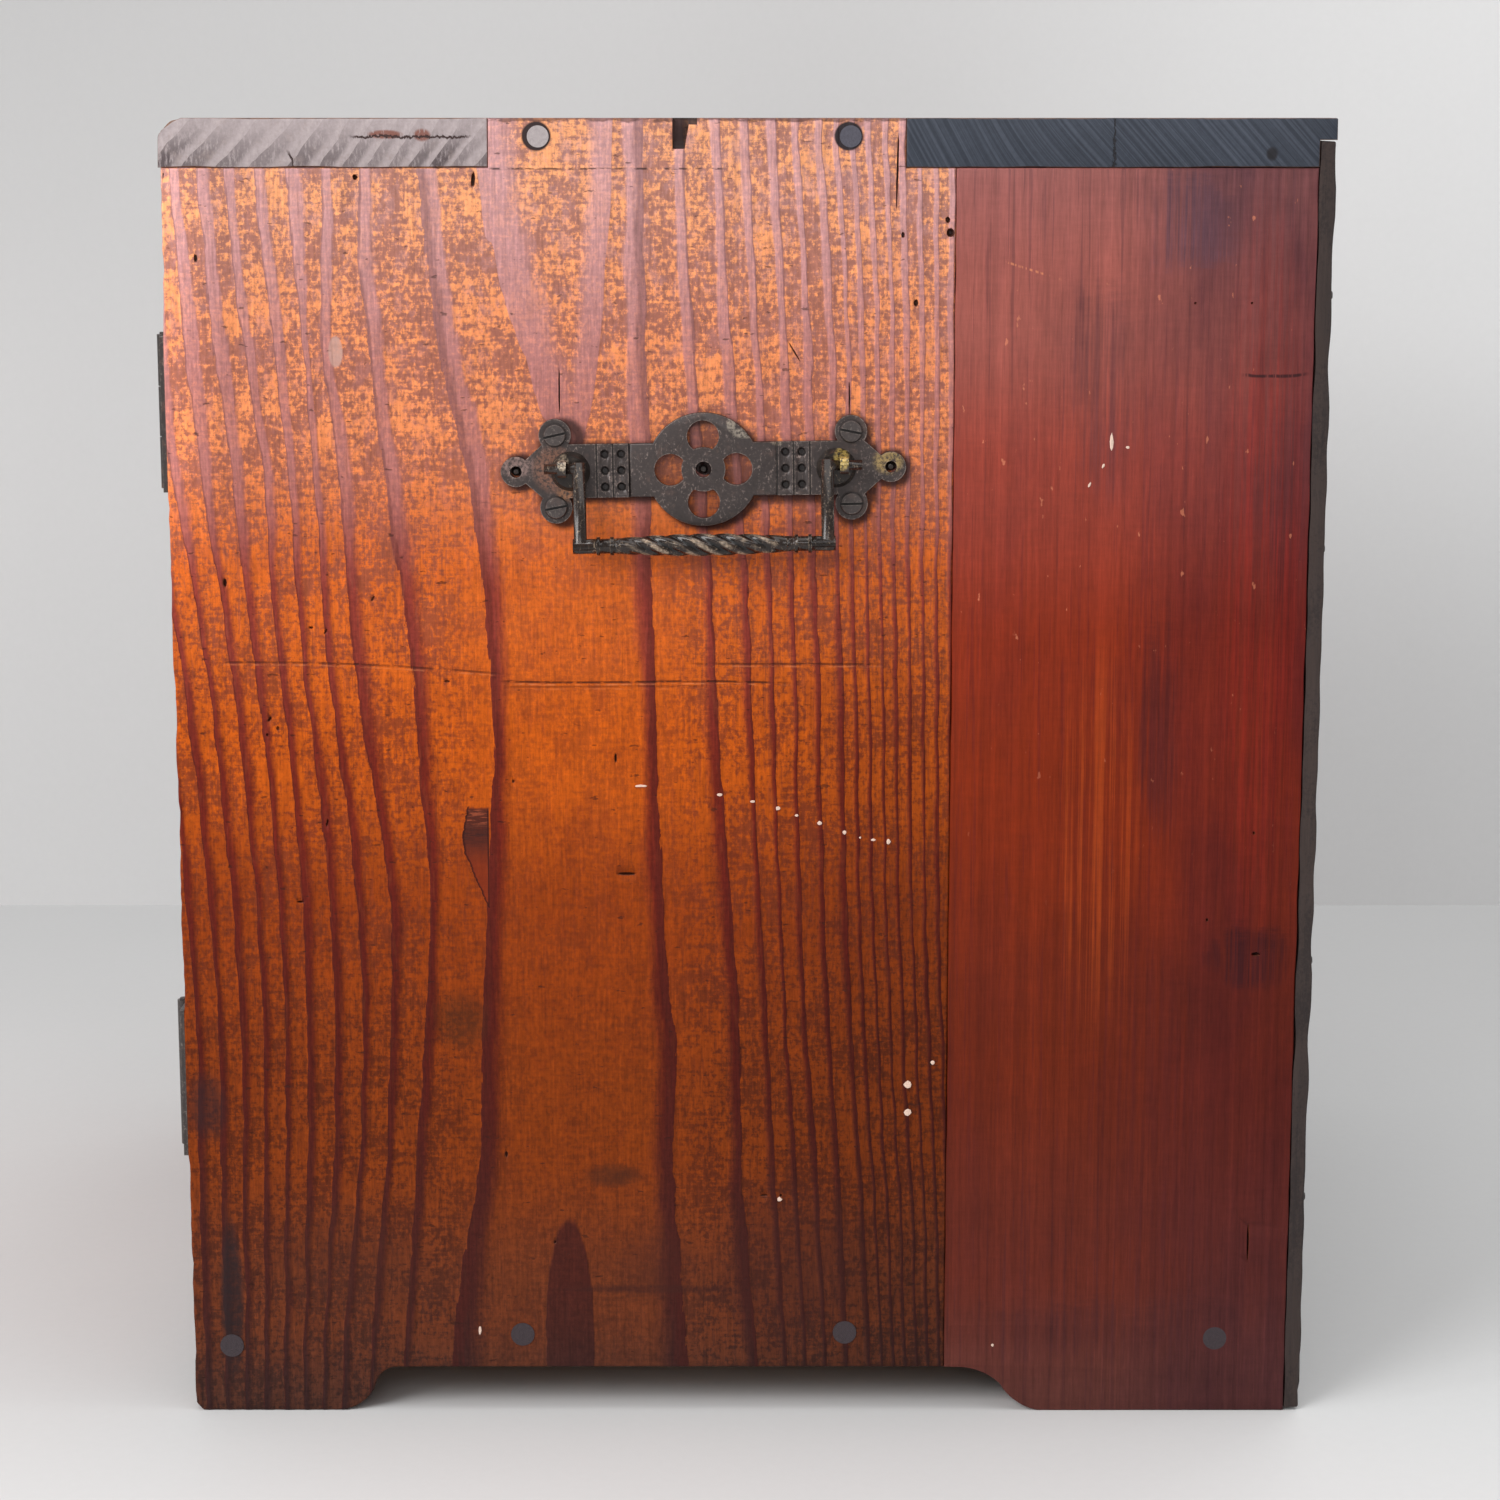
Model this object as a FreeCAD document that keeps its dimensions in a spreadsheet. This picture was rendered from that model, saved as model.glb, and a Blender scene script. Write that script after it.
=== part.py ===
"""Funa dansu, a Japanese ship's chest: a small upright case with one full-height door.

Each side is two boards joined edge to edge, with an arch cut between two feet. A wide tab on each
side rises through a notch in the top boards and is held by wooden pegs, and more pegs hold the
bottom boards. The back boards lap over the sides and run up into a rabbet of the top. A pierced
iron plate on each side carries a bail with a twisted grip. The door hangs on two butt hinges at
the right front edge, and has a cut-in lock and a ring pull at its free edge.

Frame, in millimetres: +Z up, the front faces -Y, and the origin is on the floor, below the middle
of the whole chest with its pull.
"""

import FreeCAD, Part
import Sketcher
import math
import os
import re

# Name, size, and what it is. Angles are in degrees.
SIZES = (
    ("case_width", 440.0, "outside, from left face to right face"),
    ("case_depth", 434.0, "outside, from the front edges to the rear of the back boards"),
    ("case_height", 500.0, "floor to top"),
    ("side_thick", 18.0, "thickness of the side boards"),
    ("top_thick", 18.0, "thickness of the top boards"),
    ("back_thick", 6.3, "thickness of the back boards"),
    ("rear_board_width", 133.7, "width of the rear one of a side's two boards"),
    ("tab_front", 121.5, "front to the tab that rises through the top"),
    ("tab_behind", 18.5, "tab's rear to the joint of the side's two boards"),
    ("top_round", 3.0, "rounding of the top board's front edge"),
    ("back_drop", 8.0, "top face down to the top of the back boards"),
    ("back_lift", 1.0, "floor to the back boards"),
    ("back_board_width", 146.0, "width of the outer two back boards"),
    ("floor_over_arch", 3.7, "flat of the arch up to the underside of the bottom boards"),
    ("floor_thick", 17.0, "thickness of the bottom boards"),
    ("floor_seam", 212.0, "front to the joint of the two bottom boards"),
    ("housing", 4.0, "depth of the housings that hold bottom and shelf"),
    ("shelf_height", 254.0, "ground to the underside of the shelf"),
    ("shelf_thick", 14.0, "thickness of the shelf"),
    ("foot_chamfer", 3.0, "worn front corner of a foot"),
    ("arch_height", 17.8, "ground to the flat of the arch"),
    ("front_foot", 56.0, "front to where the front foot leaves the ground"),
    ("front_toe_run", 15.6, "from there to the cusp of the front foot"),
    ("front_toe_rise", 12.5, "ground to that cusp"),
    ("front_cove_run", 8.4, "cusp to the start of the arch's flat"),
    ("arch_past_seam", 5.0, "boards' joint to the end of the arch's flat"),
    ("rear_cove_run", 17.0, "end of the flat to the bend of the rear foot"),
    ("rear_toe_rise", 11.0, "ground to that bend"),
    ("rear_toe_run", 15.0, "that bend to where the rear foot meets the ground"),
    ("front_toe_radius", 16.0, "round of the front foot's toe"),
    ("front_cove_radius", 9.0, "cove from the front cusp to the arch"),
    ("rear_cove_radius", 24.0, "cove from the arch to the rear bend"),
    ("rear_toe_radius", 22.0, "round of the rear foot's toe"),
    ("peg_radius", 4.6, "pegs that hold the bottom boards"),
    ("peg_length", 46.0, "their length"),
    ("peg_first", 15.0, "front to the first of them"),
    ("peg_second", 129.0, "front to the second"),
    ("peg_third", 255.0, "front to the third"),
    ("peg_fourth", 34.0, "rear to the fourth"),
    ("peg_first_rise", -3.2, "middle of the bottom boards up to the first, driven by eye"),
    ("peg_second_rise", 1.4, "the same, to the second"),
    ("peg_third_rise", 2.2, "the same, to the third"),
    ("peg_fourth_rise", -0.2, "the same, to the fourth"),
    ("tab_peg_radius", 4.0, "pegs that hold the tabs"),
    ("tab_peg_length", 44.0, "their length"),
    ("tab_peg_drop", 6.7, "top face down to their middle"),
    ("tab_peg_front", 18.5, "tab's front to the first of them"),
    ("tab_peg_rear", 20.5, "tab's rear to the second"),
    ("chip_behind", 68.0, "tab's front to the chip that is broken out of the right tab"),
    ("chip_width", 9.0, "width of the chip at the top face"),
    ("chip_deep_width", 4.4, "width of its deep part, at the bottom"),
    ("chip_slope", 1.6, "run of the slope from the deep part to the shallow one"),
    ("chip_deep", 11.2, "top face down to the bottom of its deep part"),
    ("chip_shallow", 2.4, "top face down to the shallow part"),
    ("chip_inward", 7.0, "outer face in to the back of the chip"),
    ("door_thick", 20.0, "thickness of the door"),
    ("door_gap", 1.5, "running gap around the door"),
    ("door_seam", 210.0, "free edge to the joint of the two planks"),
    ("cleat_height", 42.0, "height of the door's end cleats"),
    ("tongue_length", 12.0, "tongue of the planks in the cleats"),
    ("tongue_thick", 6.5, "its thickness"),
    ("stop_thick", 10.0, "thickness of the door stops"),
    ("stop_depth", 12.0, "their depth, front to rear"),
    ("stop_gap", 0.3, "closed door to the stops"),
    ("hinge_height", 58.0, "height of a hinge"),
    ("hinge_upper_drop", 91.0, "underside of the top to the middle of the upper hinge"),
    ("hinge_lower_rise", 94.5, "bottom boards to the middle of the lower hinge"),
    ("leaf_thick", 1.6, "thickness of a hinge leaf"),
    ("leaf_margin", 1.0, "outer face of the side to the leaf's outer edge"),
    ("hinge_nail_edge", 8.1, "a leaf's ends to its outer nails"),
    ("knuckle_wall", 1.5, "wall of the hinge barrel around its pin"),
    ("knuckle_gap", 0.4, "play between neighbouring knuckles, and behind them"),
    ("hinge_pin_radius", 0.9, "radius of the hinge pin"),
    ("hinge_pin_play", 0.05, "running play of the door's knuckle on the pin"),
    ("hinge_pin_head", 1.4, "radius of the pin's heads"),
    ("hinge_pin_reach", 0.8, "height of a pin head"),
    ("nail_radius", 0.9, "shank of the iron nails"),
    ("nail_head", 2.4, "radius of their heads"),
    ("nail_top", 1.3, "radius of the flat on a head"),
    ("nail_rise", 1.1, "height of their heads"),
    ("nail_length", 13.0, "length below the head"),
    ("lock_width", 44.0, "lock case, free edge inward"),
    ("lock_tall", 54.0, "lock case, height"),
    ("lock_skin", 7.0, "wood left in front of the lock"),
    ("lock_rise", 7.75, "door's middle up to the lock's middle"),
    ("bolt_length", 30.0, "length of the bolt"),
    ("bolt_tall", 13.0, "height of the bolt"),
    ("bolt_thick", 5.0, "thickness of the bolt"),
    ("bolt_gap", 0.3, "play around the bolt"),
    ("bolt_travel", 9.0, "how far the bolt slides out"),
    ("mortise_spare", 1.0, "room past the end of the thrown bolt"),
    ("strike_thick", 1.0, "thickness of the strike plate"),
    ("strike_border", 7.0, "iron around the strike's hole"),
    ("key_across", 26.0, "free edge to the middle of the keyhole"),
    ("key_radius", 2.4, "round of the keyhole"),
    ("key_slot", 2.2, "width of its slot"),
    ("key_drop", 8.0, "keyhole's middle down to the end of its slot"),
    ("escutcheon_radius", 10.0, "radius of the keyhole's plate"),
    ("escutcheon_thick", 1.2, "thickness of the keyhole's plate"),
    ("pull_across", 26.0, "free edge to the middle of the pull"),
    ("pull_rise", 54.0, "lock's middle up to the pull's post"),
    ("pull_stand", 9.0, "door to the middle of the pull's ring wire"),
    ("pull_rose", 12.0, "radius of the pull's rose"),
    ("pull_rose_thick", 1.4, "thickness of the rose"),
    ("pull_eye_wall", 2.2, "iron around the hole of the post's eye"),
    ("pull_eye_width", 4.4, "width of that eye"),
    ("pull_ring", 17.0, "radius of the ring, to the middle of its wire"),
    ("pull_wire", 2.1, "radius of the ring's wire"),
    ("pull_play", 0.5, "play of the wire in the eye"),
    ("pull_tail", 12.0, "length of the post's tail in the door"),
    ("pull_tail_radius", 2.0, "radius of that tail"),
    ("handle_behind", 2.1, "tab's middle back to the middle of a side handle"),
    ("handle_drop", 129.0, "top face down to the middle of its plate"),
    ("handle_tilt", 0.8, "how far the plate hangs askew"),
    ("handle_skin", 4.5, "wood left behind its screws, nails and posts"),
    ("plate_thick", 2.3, "thickness of the handle plate"),
    ("strap_half", 10.0, "half the height of its strap"),
    ("wheel_rim", 2.9, "iron outside the four holes of its middle round"),
    ("pierce_radius", 6.0, "radius of the four holes"),
    ("pierce_place", 12.3, "plate's middle to theirs"),
    ("hub_radius", 8.2, "radius of the disc between them"),
    ("hub_hole", 3.0, "radius of the nail hole in the disc"),
    ("lobe_past_post", 5.6, "post to the screws, sideways"),
    ("lobe_stand", 3.5, "edge of the strap to the screws"),
    ("lobe_radius", 6.0, "radius of the screw lobes"),
    ("neck_past_lobe", 4.8, "screws to where the plate narrows"),
    ("neck_run", 7.0, "length of that narrowing"),
    ("neck_half", 3.8, "half the height at its end"),
    ("tip_past_neck", 3.0, "end of the narrowing to the middle of the end lobe"),
    ("tip_radius", 5.6, "radius of the end lobes"),
    ("tip_hole", 2.2, "radius of their holes"),
    ("groove_first", 27.6, "plate's middle to the first cut line"),
    ("groove_pitch", 6.1, "from one cut line to the next"),
    ("groove_width", 0.7, "width of a cut line"),
    ("groove_depth", 0.5, "depth of a cut line"),
    ("punch_radius", 1.9, "radius of the punched dimples"),
    ("punch_floor", 0.9, "radius at their bottom"),
    ("punch_depth", 1.2, "depth of the dimples"),
    ("punch_rise", 6.1, "middle dimple to the next above or below"),
    ("plate_nail", 1.5, "radius of the nails in the plate's holes"),
    ("plate_nail_top", 0.9, "radius of their blunt tops"),
    ("plate_nail_rise", 1.0, "their rise above the wood"),
    ("screw_head", 4.3, "radius of the screw heads"),
    ("screw_top", 3.7, "radius of their flat tops"),
    ("screw_rim", 0.8, "height of the head's straight rim"),
    ("screw_crown", 0.7, "height of its bevel"),
    ("screw_slot", 0.9, "width of the slot"),
    ("screw_slot_depth", 0.8, "depth of the slot"),
    ("screw_shank", 1.7, "radius of the shank"),
    ("post_place", 49.6, "plate's middle to the bail posts"),
    ("post_radius", 7.4, "radius of a post's boss"),
    ("post_top", 5.9, "radius of the boss at its top"),
    ("post_rise", 2.6, "height of the boss"),
    ("post_shank", 2.2, "radius of the post's tail"),
    ("eye_past_post", 2.8, "post's middle out to its eye"),
    ("eye_wall", 1.4, "iron around the eye's hole"),
    ("eye_width", 3.2, "width of an eye"),
    ("eye_neck_half", 2.4, "half the height of the neck that carries the eye"),
    ("pivot_stand", 7.2, "plate's face to the bail's pivot line"),
    ("pivot_rise", 1.6, "plate's middle line up to the pivot line"),
    ("pivot_play", 0.1, "play of the bail's pins in the eyes"),
    ("pin_radius", 1.9, "radius of the bail's pins"),
    ("pin_past_eye", 5.0, "eye to the end of a pin"),
    ("arm_gap", 2.3, "eye to the bail's arm"),
    ("arm_radius", 2.4, "radius of the arms"),
    ("bail_drop", 29.0, "pivot line down to the middle of the grip"),
    ("bar_radius", 2.8, "radius of the grip's plain ends"),
    ("collar_inset", 6.7, "arm to the outer collar"),
    ("collar_pitch", 5.1, "outer collar to the inner one"),
    ("collar_radius", 3.5, "radius of the collars"),
    ("collar_width", 1.3, "width of a collar"),
    ("twist_ends", 2.9, "radius of the twist at its ends"),
    ("twist_middle", 4.2, "radius of the twist at its middle"),
    ("twist_groove", 0.8, "depth of the twist's grooves at its middle"),
    ("twist_lead", 36.0, "length of one whole turn of the twist"),
)

doc = FreeCAD.newDocument("ship_chest")
sheet = doc.addObject("Spreadsheet::Sheet", "Sizes")
for row, (alias, size, note) in enumerate(SIZES, 1):
    sheet.set(f"A{row}", alias)
    sheet.set(f"B{row}", str(size))
    sheet.setAlias(f"B{row}", alias)
    sheet.set(f"C{row}", note)
doc.recompute()

ALIAS = re.compile(r"\b(" + "|".join(alias for alias, _, _ in SIZES) + r")\b")
X_AXIS = FreeCAD.Vector(1, 0, 0)
Y_AXIS = FreeCAD.Vector(0, 1, 0)
Z_AXIS = FreeCAD.Vector(0, 0, 1)
nodes = []

# Places that several pieces share, as formulas over the sheet.
PULL_EYE = "(pull_wire + pull_play + pull_eye_wall)"
FRONT = f"(-(case_depth - pull_stand - {PULL_EYE}) / 2)"
BACK = f"({FRONT} + case_depth)"
BACK_INSIDE = f"({BACK} - back_thick)"
RIGHT = "(case_width / 2)"
LEFT = "(-case_width / 2)"
RIGHT_INSIDE = "(case_width / 2 - side_thick)"
LEFT_INSIDE = "(-case_width / 2 + side_thick)"
UNDER_TOP = "(case_height - top_thick)"
UNDER_FLOOR = "(arch_height + floor_over_arch)"
FLOOR_MIDDLE = f"({UNDER_FLOOR} + floor_thick / 2)"
ON_FLOOR = f"({UNDER_FLOOR} + floor_thick)"
DOOR_RIGHT = f"({RIGHT_INSIDE} - door_gap)"
DOOR_LEFT = f"({LEFT_INSIDE} + door_gap)"
DOOR_LOW = f"({ON_FLOOR} + door_gap)"
DOOR_HIGH = f"({UNDER_TOP} - door_gap)"
DOOR_BACK = f"({FRONT} + door_thick)"
STOP_FRONT = f"({DOOR_BACK} + stop_gap)"
STOP_BACK = f"({STOP_FRONT} + stop_depth)"
KNUCKLE = "(hinge_pin_radius + knuckle_wall)"
HINGE_Y = f"({FRONT} - {KNUCKLE} - knuckle_gap)"

# Distances along a side, from its front edge.
SIDE_BACK = "(case_depth - back_thick)"
SIDE_SEAM = f"({SIDE_BACK} - rear_board_width)"
TAB_REAR = f"({SIDE_SEAM} - tab_behind)"
TAB_MIDDLE = f"((tab_front + {TAB_REAR}) / 2)"


# ---- helpers -------------------------------------------------------------------------------

def formula(text):
    """The text with each size's name pointed at its cell of the sheet."""
    return ALIAS.sub(r"Sizes.\1", text)


def number(text):
    """What a formula comes to now."""
    return float(sheet.evalExpression(formula(text)))


def bind(thing, **sizes):
    """Tie properties of an object to formulas."""
    for prop, text in sizes.items():
        thing.setExpression(prop, formula(text))


def place(thing, spot, turn=None):
    """Put an object at a spot given as three formulas, turned if asked."""
    if turn is not None:
        thing.Placement = FreeCAD.Placement(FreeCAD.Vector(), turn)
    for axis, text in zip("xyz", spot):
        thing.setExpression(f"Placement.Base.{axis}", formula(text))
    return thing


def named(thing, label):
    """Keep the object as a piece of the chest under this name."""
    thing.Label = label
    nodes.append(thing)
    return thing


def box(low, high):
    """A box between two corners."""
    block = doc.addObject("Part::Box", "box")
    spans = [f"({b}) - ({a})" for a, b in zip(low, high)]
    bind(block, Length=spans[0], Width=spans[1], Height=spans[2])
    return place(block, low)


def rod(start, axis, radius, length):
    """A cylinder that runs from a start point along +axis."""
    cylinder = doc.addObject("Part::Cylinder", "rod")
    bind(cylinder, Radius=radius, Height=length)
    return place(cylinder, start, FreeCAD.Rotation(Z_AXIS, axis))


def cone(start, axis, radius, end_radius, length):
    """A cone frustum that runs from a start point along +axis."""
    frustum = doc.addObject("Part::Cone", "cone")
    bind(frustum, Radius1=radius, Radius2=end_radius, Height=length)
    return place(frustum, start, FreeCAD.Rotation(Z_AXIS, axis))


def fuse(pieces):
    """One solid from pieces that touch."""
    joined = doc.addObject("Part::MultiFuse", "fuse")
    joined.Shapes = pieces
    joined.Refine = True
    return joined


def group(pieces, turn=None, spot=("0", "0", "0")):
    """Separate solids as one object, which can be turned and placed as a whole."""
    bundle = doc.addObject("Part::Compound", "group")
    bundle.Links = pieces
    return place(bundle, spot, turn)


def cut(base, tools):
    """The base with every tool's shape taken out of it."""
    carved = doc.addObject("Part::Cut", "cut")
    carved.Base = base
    carved.Tool = tools[0] if len(tools) == 1 else fuse(tools)
    carved.Refine = True
    return carved


def origin_plane(body, role):
    """A body's own origin plane."""
    return next(plane for plane in body.Origin.OriginFeatures if plane.Role == role)


def outline(body, role, corners, arcs=None):
    """A closed sketch on one of the body's planes, each corner held by its two distances.

    arcs maps a corner's number to (radius, side): the edge that leaves it is an arc of that
    radius, which bulges to the right (-1) or the left (+1) of its direction.
    """
    sketch = body.newObject("Sketcher::SketchObject", "outline")
    sketch.AttachmentSupport = [(origin_plane(body, role), "")]
    sketch.MapMode = "FlatFace"
    spots = [FreeCAD.Vector(number(u), number(v), 0) for u, v in corners]
    ends = []
    for index, start in enumerate(spots):
        stop = spots[(index + 1) % len(spots)]
        if arcs and index in arcs:
            radius, side = number(arcs[index][0]), arcs[index][1]
            chord = stop - start
            rise = radius - math.sqrt(radius**2 - (chord.Length / 2) ** 2)
            left = FreeCAD.Vector(-chord.y, chord.x, 0).normalize()
            middle = (start + stop) / 2 + left * (rise * side)
            # An arc is kept anticlockwise, so one that bulges left is drawn from its other end.
            forward = side < 0
            first, last = (start, stop) if forward else (stop, start)
            sketch.addGeometry(Part.Arc(first, middle, last), False)
            ends.append((1, 2) if forward else (2, 1))
        else:
            sketch.addGeometry(Part.LineSegment(start, stop), False)
            ends.append((1, 2))
    for index in range(len(spots)):
        after = (index + 1) % len(spots)
        join = Sketcher.Constraint("Coincident", index, ends[index][1], after, ends[after][0])
        sketch.addConstraint(join)
    for index, (u, v) in enumerate(corners):
        for way, axis_line, text, now in (
            ("DistanceX", -2, u, spots[index].x),
            ("DistanceY", -1, v, spots[index].y),
        ):
            corner = ends[index][0]
            if text == "0":
                sketch.addConstraint(Sketcher.Constraint("PointOnObject", index, corner, axis_line))
            else:
                held = Sketcher.Constraint(way, -1, 1, index, corner, now)
                number_of = sketch.addConstraint(held)
                sketch.setExpression(f"Constraints[{number_of}]", formula(text))
    for index, (radius, _) in (arcs or {}).items():
        number_of = sketch.addConstraint(Sketcher.Constraint("Radius", index, number(radius)))
        sketch.setExpression(f"Constraints[{number_of}]", formula(radius))
    return sketch


def padded(role, corners, length, spot, arcs=None):
    """A body padded from an outline, at a spot."""
    body = doc.addObject("PartDesign::Body", "body")
    sketch = outline(body, role, corners, arcs)
    pad = body.newObject("PartDesign::Pad", "pad")
    pad.Profile = sketch
    bind(pad, Length=length)
    body.Tip = pad
    return place(body, spot)


def iron_nails(spots, way):
    """Nails driven along Y (way 1) or against it (-1), with round heads on the face at the spots."""
    nails = []
    for x, y, z in spots:
        axis = Y_AXIS * way
        shank = rod((x, y, z), axis, "nail_radius", "nail_length")
        top = (x, f"{y} - {way} * nail_rise", z)
        head = cone(top, axis, "nail_top", "nail_head", "nail_rise")
        nails.append(fuse([head, shank]))
    return nails


# ---- wooden pegs ---------------------------------------------------------------------------

BOTTOM_PEGS = (
    ("peg_first", f"{FLOOR_MIDDLE} + peg_first_rise"),
    ("peg_second", f"{FLOOR_MIDDLE} + peg_second_rise"),
    ("peg_third", f"{FLOOR_MIDDLE} + peg_third_rise"),
    ("case_depth - peg_fourth", f"{FLOOR_MIDDLE} + peg_fourth_rise"),
)
TAB_PEGS = (
    ("tab_front + tab_peg_front", "case_height - tab_peg_drop"),
    (f"{TAB_REAR} - tab_peg_rear", "case_height - tab_peg_drop"),
)


def pegs(side, places, radius, length):
    """A row of pegs driven in from one side face."""
    start_x = f"({RIGHT} - {length})" if side == "right" else LEFT
    return [rod((start_x, f"{FRONT} + {across}", height), X_AXIS, radius, length)
            for across, height in places]


bottom_pegs = {}
tab_pegs = {}
for side in ("right", "left"):
    bottom_pegs[side] = pegs(side, BOTTOM_PEGS, "peg_radius", "peg_length")
    tab_pegs[side] = pegs(side, TAB_PEGS, "tab_peg_radius", "tab_peg_length")
    named(group(bottom_pegs[side]), f"{side}_bottom_pegs")
    named(group(tab_pegs[side]), f"{side}_tab_pegs")


# ---- side handle, in its own frame ---------------------------------------------------------
# Its X points out of the chest from the wood's face, Y runs along the plate, Z is up.

PLATE_FACE = "plate_thick"
WHEEL = "(pierce_place + pierce_radius + wheel_rim)"
LOBE = "(post_place + lobe_past_post)"
LOBE_RISE = "(strap_half + lobe_stand)"
NECK_START = f"({LOBE} + neck_past_lobe)"
NECK_END = f"({NECK_START} + neck_run)"
TIP = f"({NECK_END} + tip_past_neck)"
TAIL = "(side_thick - handle_skin)"
PIVOT_X = "(plate_thick + pivot_stand)"
EYE = "(post_place + eye_past_post)"
EYE_BORE = "(pin_radius + pivot_play)"
PIN_END = f"({EYE} + eye_width / 2 + pin_past_eye)"
ARM = f"({EYE} - eye_width / 2 - arm_gap - arm_radius)"
COLLAR_OUTER = f"({ARM} - collar_inset)"
COLLAR_INNER = f"({COLLAR_OUTER} - collar_pitch)"
GRIP_Z = "(pivot_rise - bail_drop)"
BOTH = (1, -1)


def handle_plate():
    """The pierced plate: strap, wheel, lobes and necks, with its holes, cut lines and dimples."""
    flat = "plate_thick"
    solids = [
        box(("0", f"-{LOBE}", "-strap_half"), (flat, LOBE, "strap_half")),
        rod(("0", "0", "0"), X_AXIS, WHEEL, flat),
    ]
    for end in BOTH:
        solids.append(rod(("0", f"{end} * {TIP}", "0"), X_AXIS, "tip_radius", flat))
        neck = (
            (f"{end} * post_place", "-strap_half"),
            (f"{end} * {NECK_START}", "-strap_half"),
            (f"{end} * {NECK_END}", "-neck_half"),
            (f"{end} * {NECK_END}", "neck_half"),
            (f"{end} * {NECK_START}", "strap_half"),
            (f"{end} * post_place", "strap_half"),
        )
        solids.append(padded("YZ_Plane", neck if end > 0 else neck[::-1], flat, ("0", "0", "0")))
        for rise in BOTH:
            lobe = ("0", f"{end} * {LOBE}", f"{rise} * {LOBE_RISE}")
            solids.append(rod(lobe, X_AXIS, "lobe_radius", flat))
    holes = [cut(
        group([rod(("0", f"{y} * pierce_place", f"{z} * pierce_place"), X_AXIS,
                   "pierce_radius", flat) for y, z in ((1, 0), (0, 1), (-1, 0), (0, -1))]),
        [rod(("0", "0", "0"), X_AXIS, "hub_radius", flat)],
    )]
    holes.append(rod(("0", "0", "0"), X_AXIS, "hub_hole", flat))
    for end in BOTH:
        holes.append(rod(("0", f"{end} * {TIP}", "0"), X_AXIS, "tip_hole", flat))
        for line in range(3):
            middle = f"{end} * (groove_first + {line} * groove_pitch)"
            low = ("plate_thick - groove_depth", f"{middle} - groove_width / 2", "-strap_half")
            high = (flat, f"{middle} + groove_width / 2", "strap_half")
            holes.append(box(low, high))
        for column in range(2):
            across = f"{end} * (groove_first + {column + 0.5} * groove_pitch)"
            for level in (-1, 0, 1):
                start = ("plate_thick - punch_depth", across, f"{level} * punch_rise")
                holes.append(cone(start, X_AXIS, "punch_floor", "punch_radius", "punch_depth"))
    return cut(fuse(solids), holes)


# How far each screw's slot is turned from level, in degrees, by its end and its rise.
SLOT_TURNS = {(-1, 1): 12, (-1, -1): 10, (1, 1): -12, (1, -1): 0}
handle_drills = []


def handle_shank(y, z, radius, top):
    """A round tail that runs into the wood, kept as the drill for its own hole."""
    shank = rod((f"-{TAIL}", y, z), X_AXIS, radius, f"{TAIL} + {top}")
    handle_drills.append(shank)
    return shank


def handle_screws():
    """Four slotted screws, heads on the plate, shanks through it into the wood."""
    screws = []
    for (end, rise), turn in SLOT_TURNS.items():
        y, z = f"{end} * {LOBE}", f"{rise} * {LOBE_RISE}"
        rim = rod((PLATE_FACE, y, z), X_AXIS, "screw_head", "screw_rim")
        crown_start = ("plate_thick + screw_rim", y, z)
        crown = cone(crown_start, X_AXIS, "screw_head", "screw_top", "screw_crown")
        shank = handle_shank(y, z, "screw_shank", "plate_thick")
        # The slot's box starts at a corner, so its middle is brought back to the screw's middle.
        half_y, half_z = "(screw_head + screw_slot)", "(screw_slot / 2)"
        slot = doc.addObject("Part::Box", "slot")
        bind(slot, Length="screw_slot_depth", Width=f"2 * {half_y}", Height="screw_slot")
        angle = math.radians(turn)
        slot_y = f"{y} - {half_y} * {math.cos(angle)} + {half_z} * {math.sin(angle)}"
        slot_z = f"{z} - {half_y} * {math.sin(angle)} - {half_z} * {math.cos(angle)}"
        slot_x = "plate_thick + screw_rim + screw_crown - screw_slot_depth"
        place(slot, (slot_x, slot_y, slot_z), FreeCAD.Rotation(X_AXIS, turn))
        screws.append(cut(fuse([rim, crown, shank]), [slot]))
    return screws


def handle_nails():
    """Three nails sunk in the holes of the hub and the tips."""
    nails = []
    for y in ("0", TIP, f"-{TIP}"):
        shank = handle_shank(y, "0", "plate_nail", "0")
        top = cone(("0", y, "0"), X_AXIS, "plate_nail", "plate_nail_top", "plate_nail_rise")
        nails.append(fuse([shank, top]))
    return nails


def handle_posts():
    """Two posts: a low boss with a round edge, an eye for the bail's pin and a tail in the wood."""
    posts = []
    for end in BOTH:
        y = f"{end} * post_place"
        boss = cone((PLATE_FACE, y, "0"), X_AXIS, "post_radius", "post_top", "post_rise")
        tail = handle_shank(y, "0", "post_shank", "plate_thick")
        side = f"{end} * {EYE} - eye_width / 2"
        neck = box((PLATE_FACE, side, "pivot_rise - eye_neck_half"),
                   (PIVOT_X, f"{side} + eye_width", "pivot_rise + eye_neck_half"))
        ring = rod((PIVOT_X, side, "pivot_rise"), Y_AXIS, f"{EYE_BORE} + eye_wall", "eye_width")
        bore_start = (PIVOT_X, f"{side} - eye_width", "pivot_rise")
        bore = rod(bore_start, Y_AXIS, EYE_BORE, "3 * eye_width")
        posts.append(cut(fuse([boss, tail, neck, ring]), [bore]))
    return posts


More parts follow.
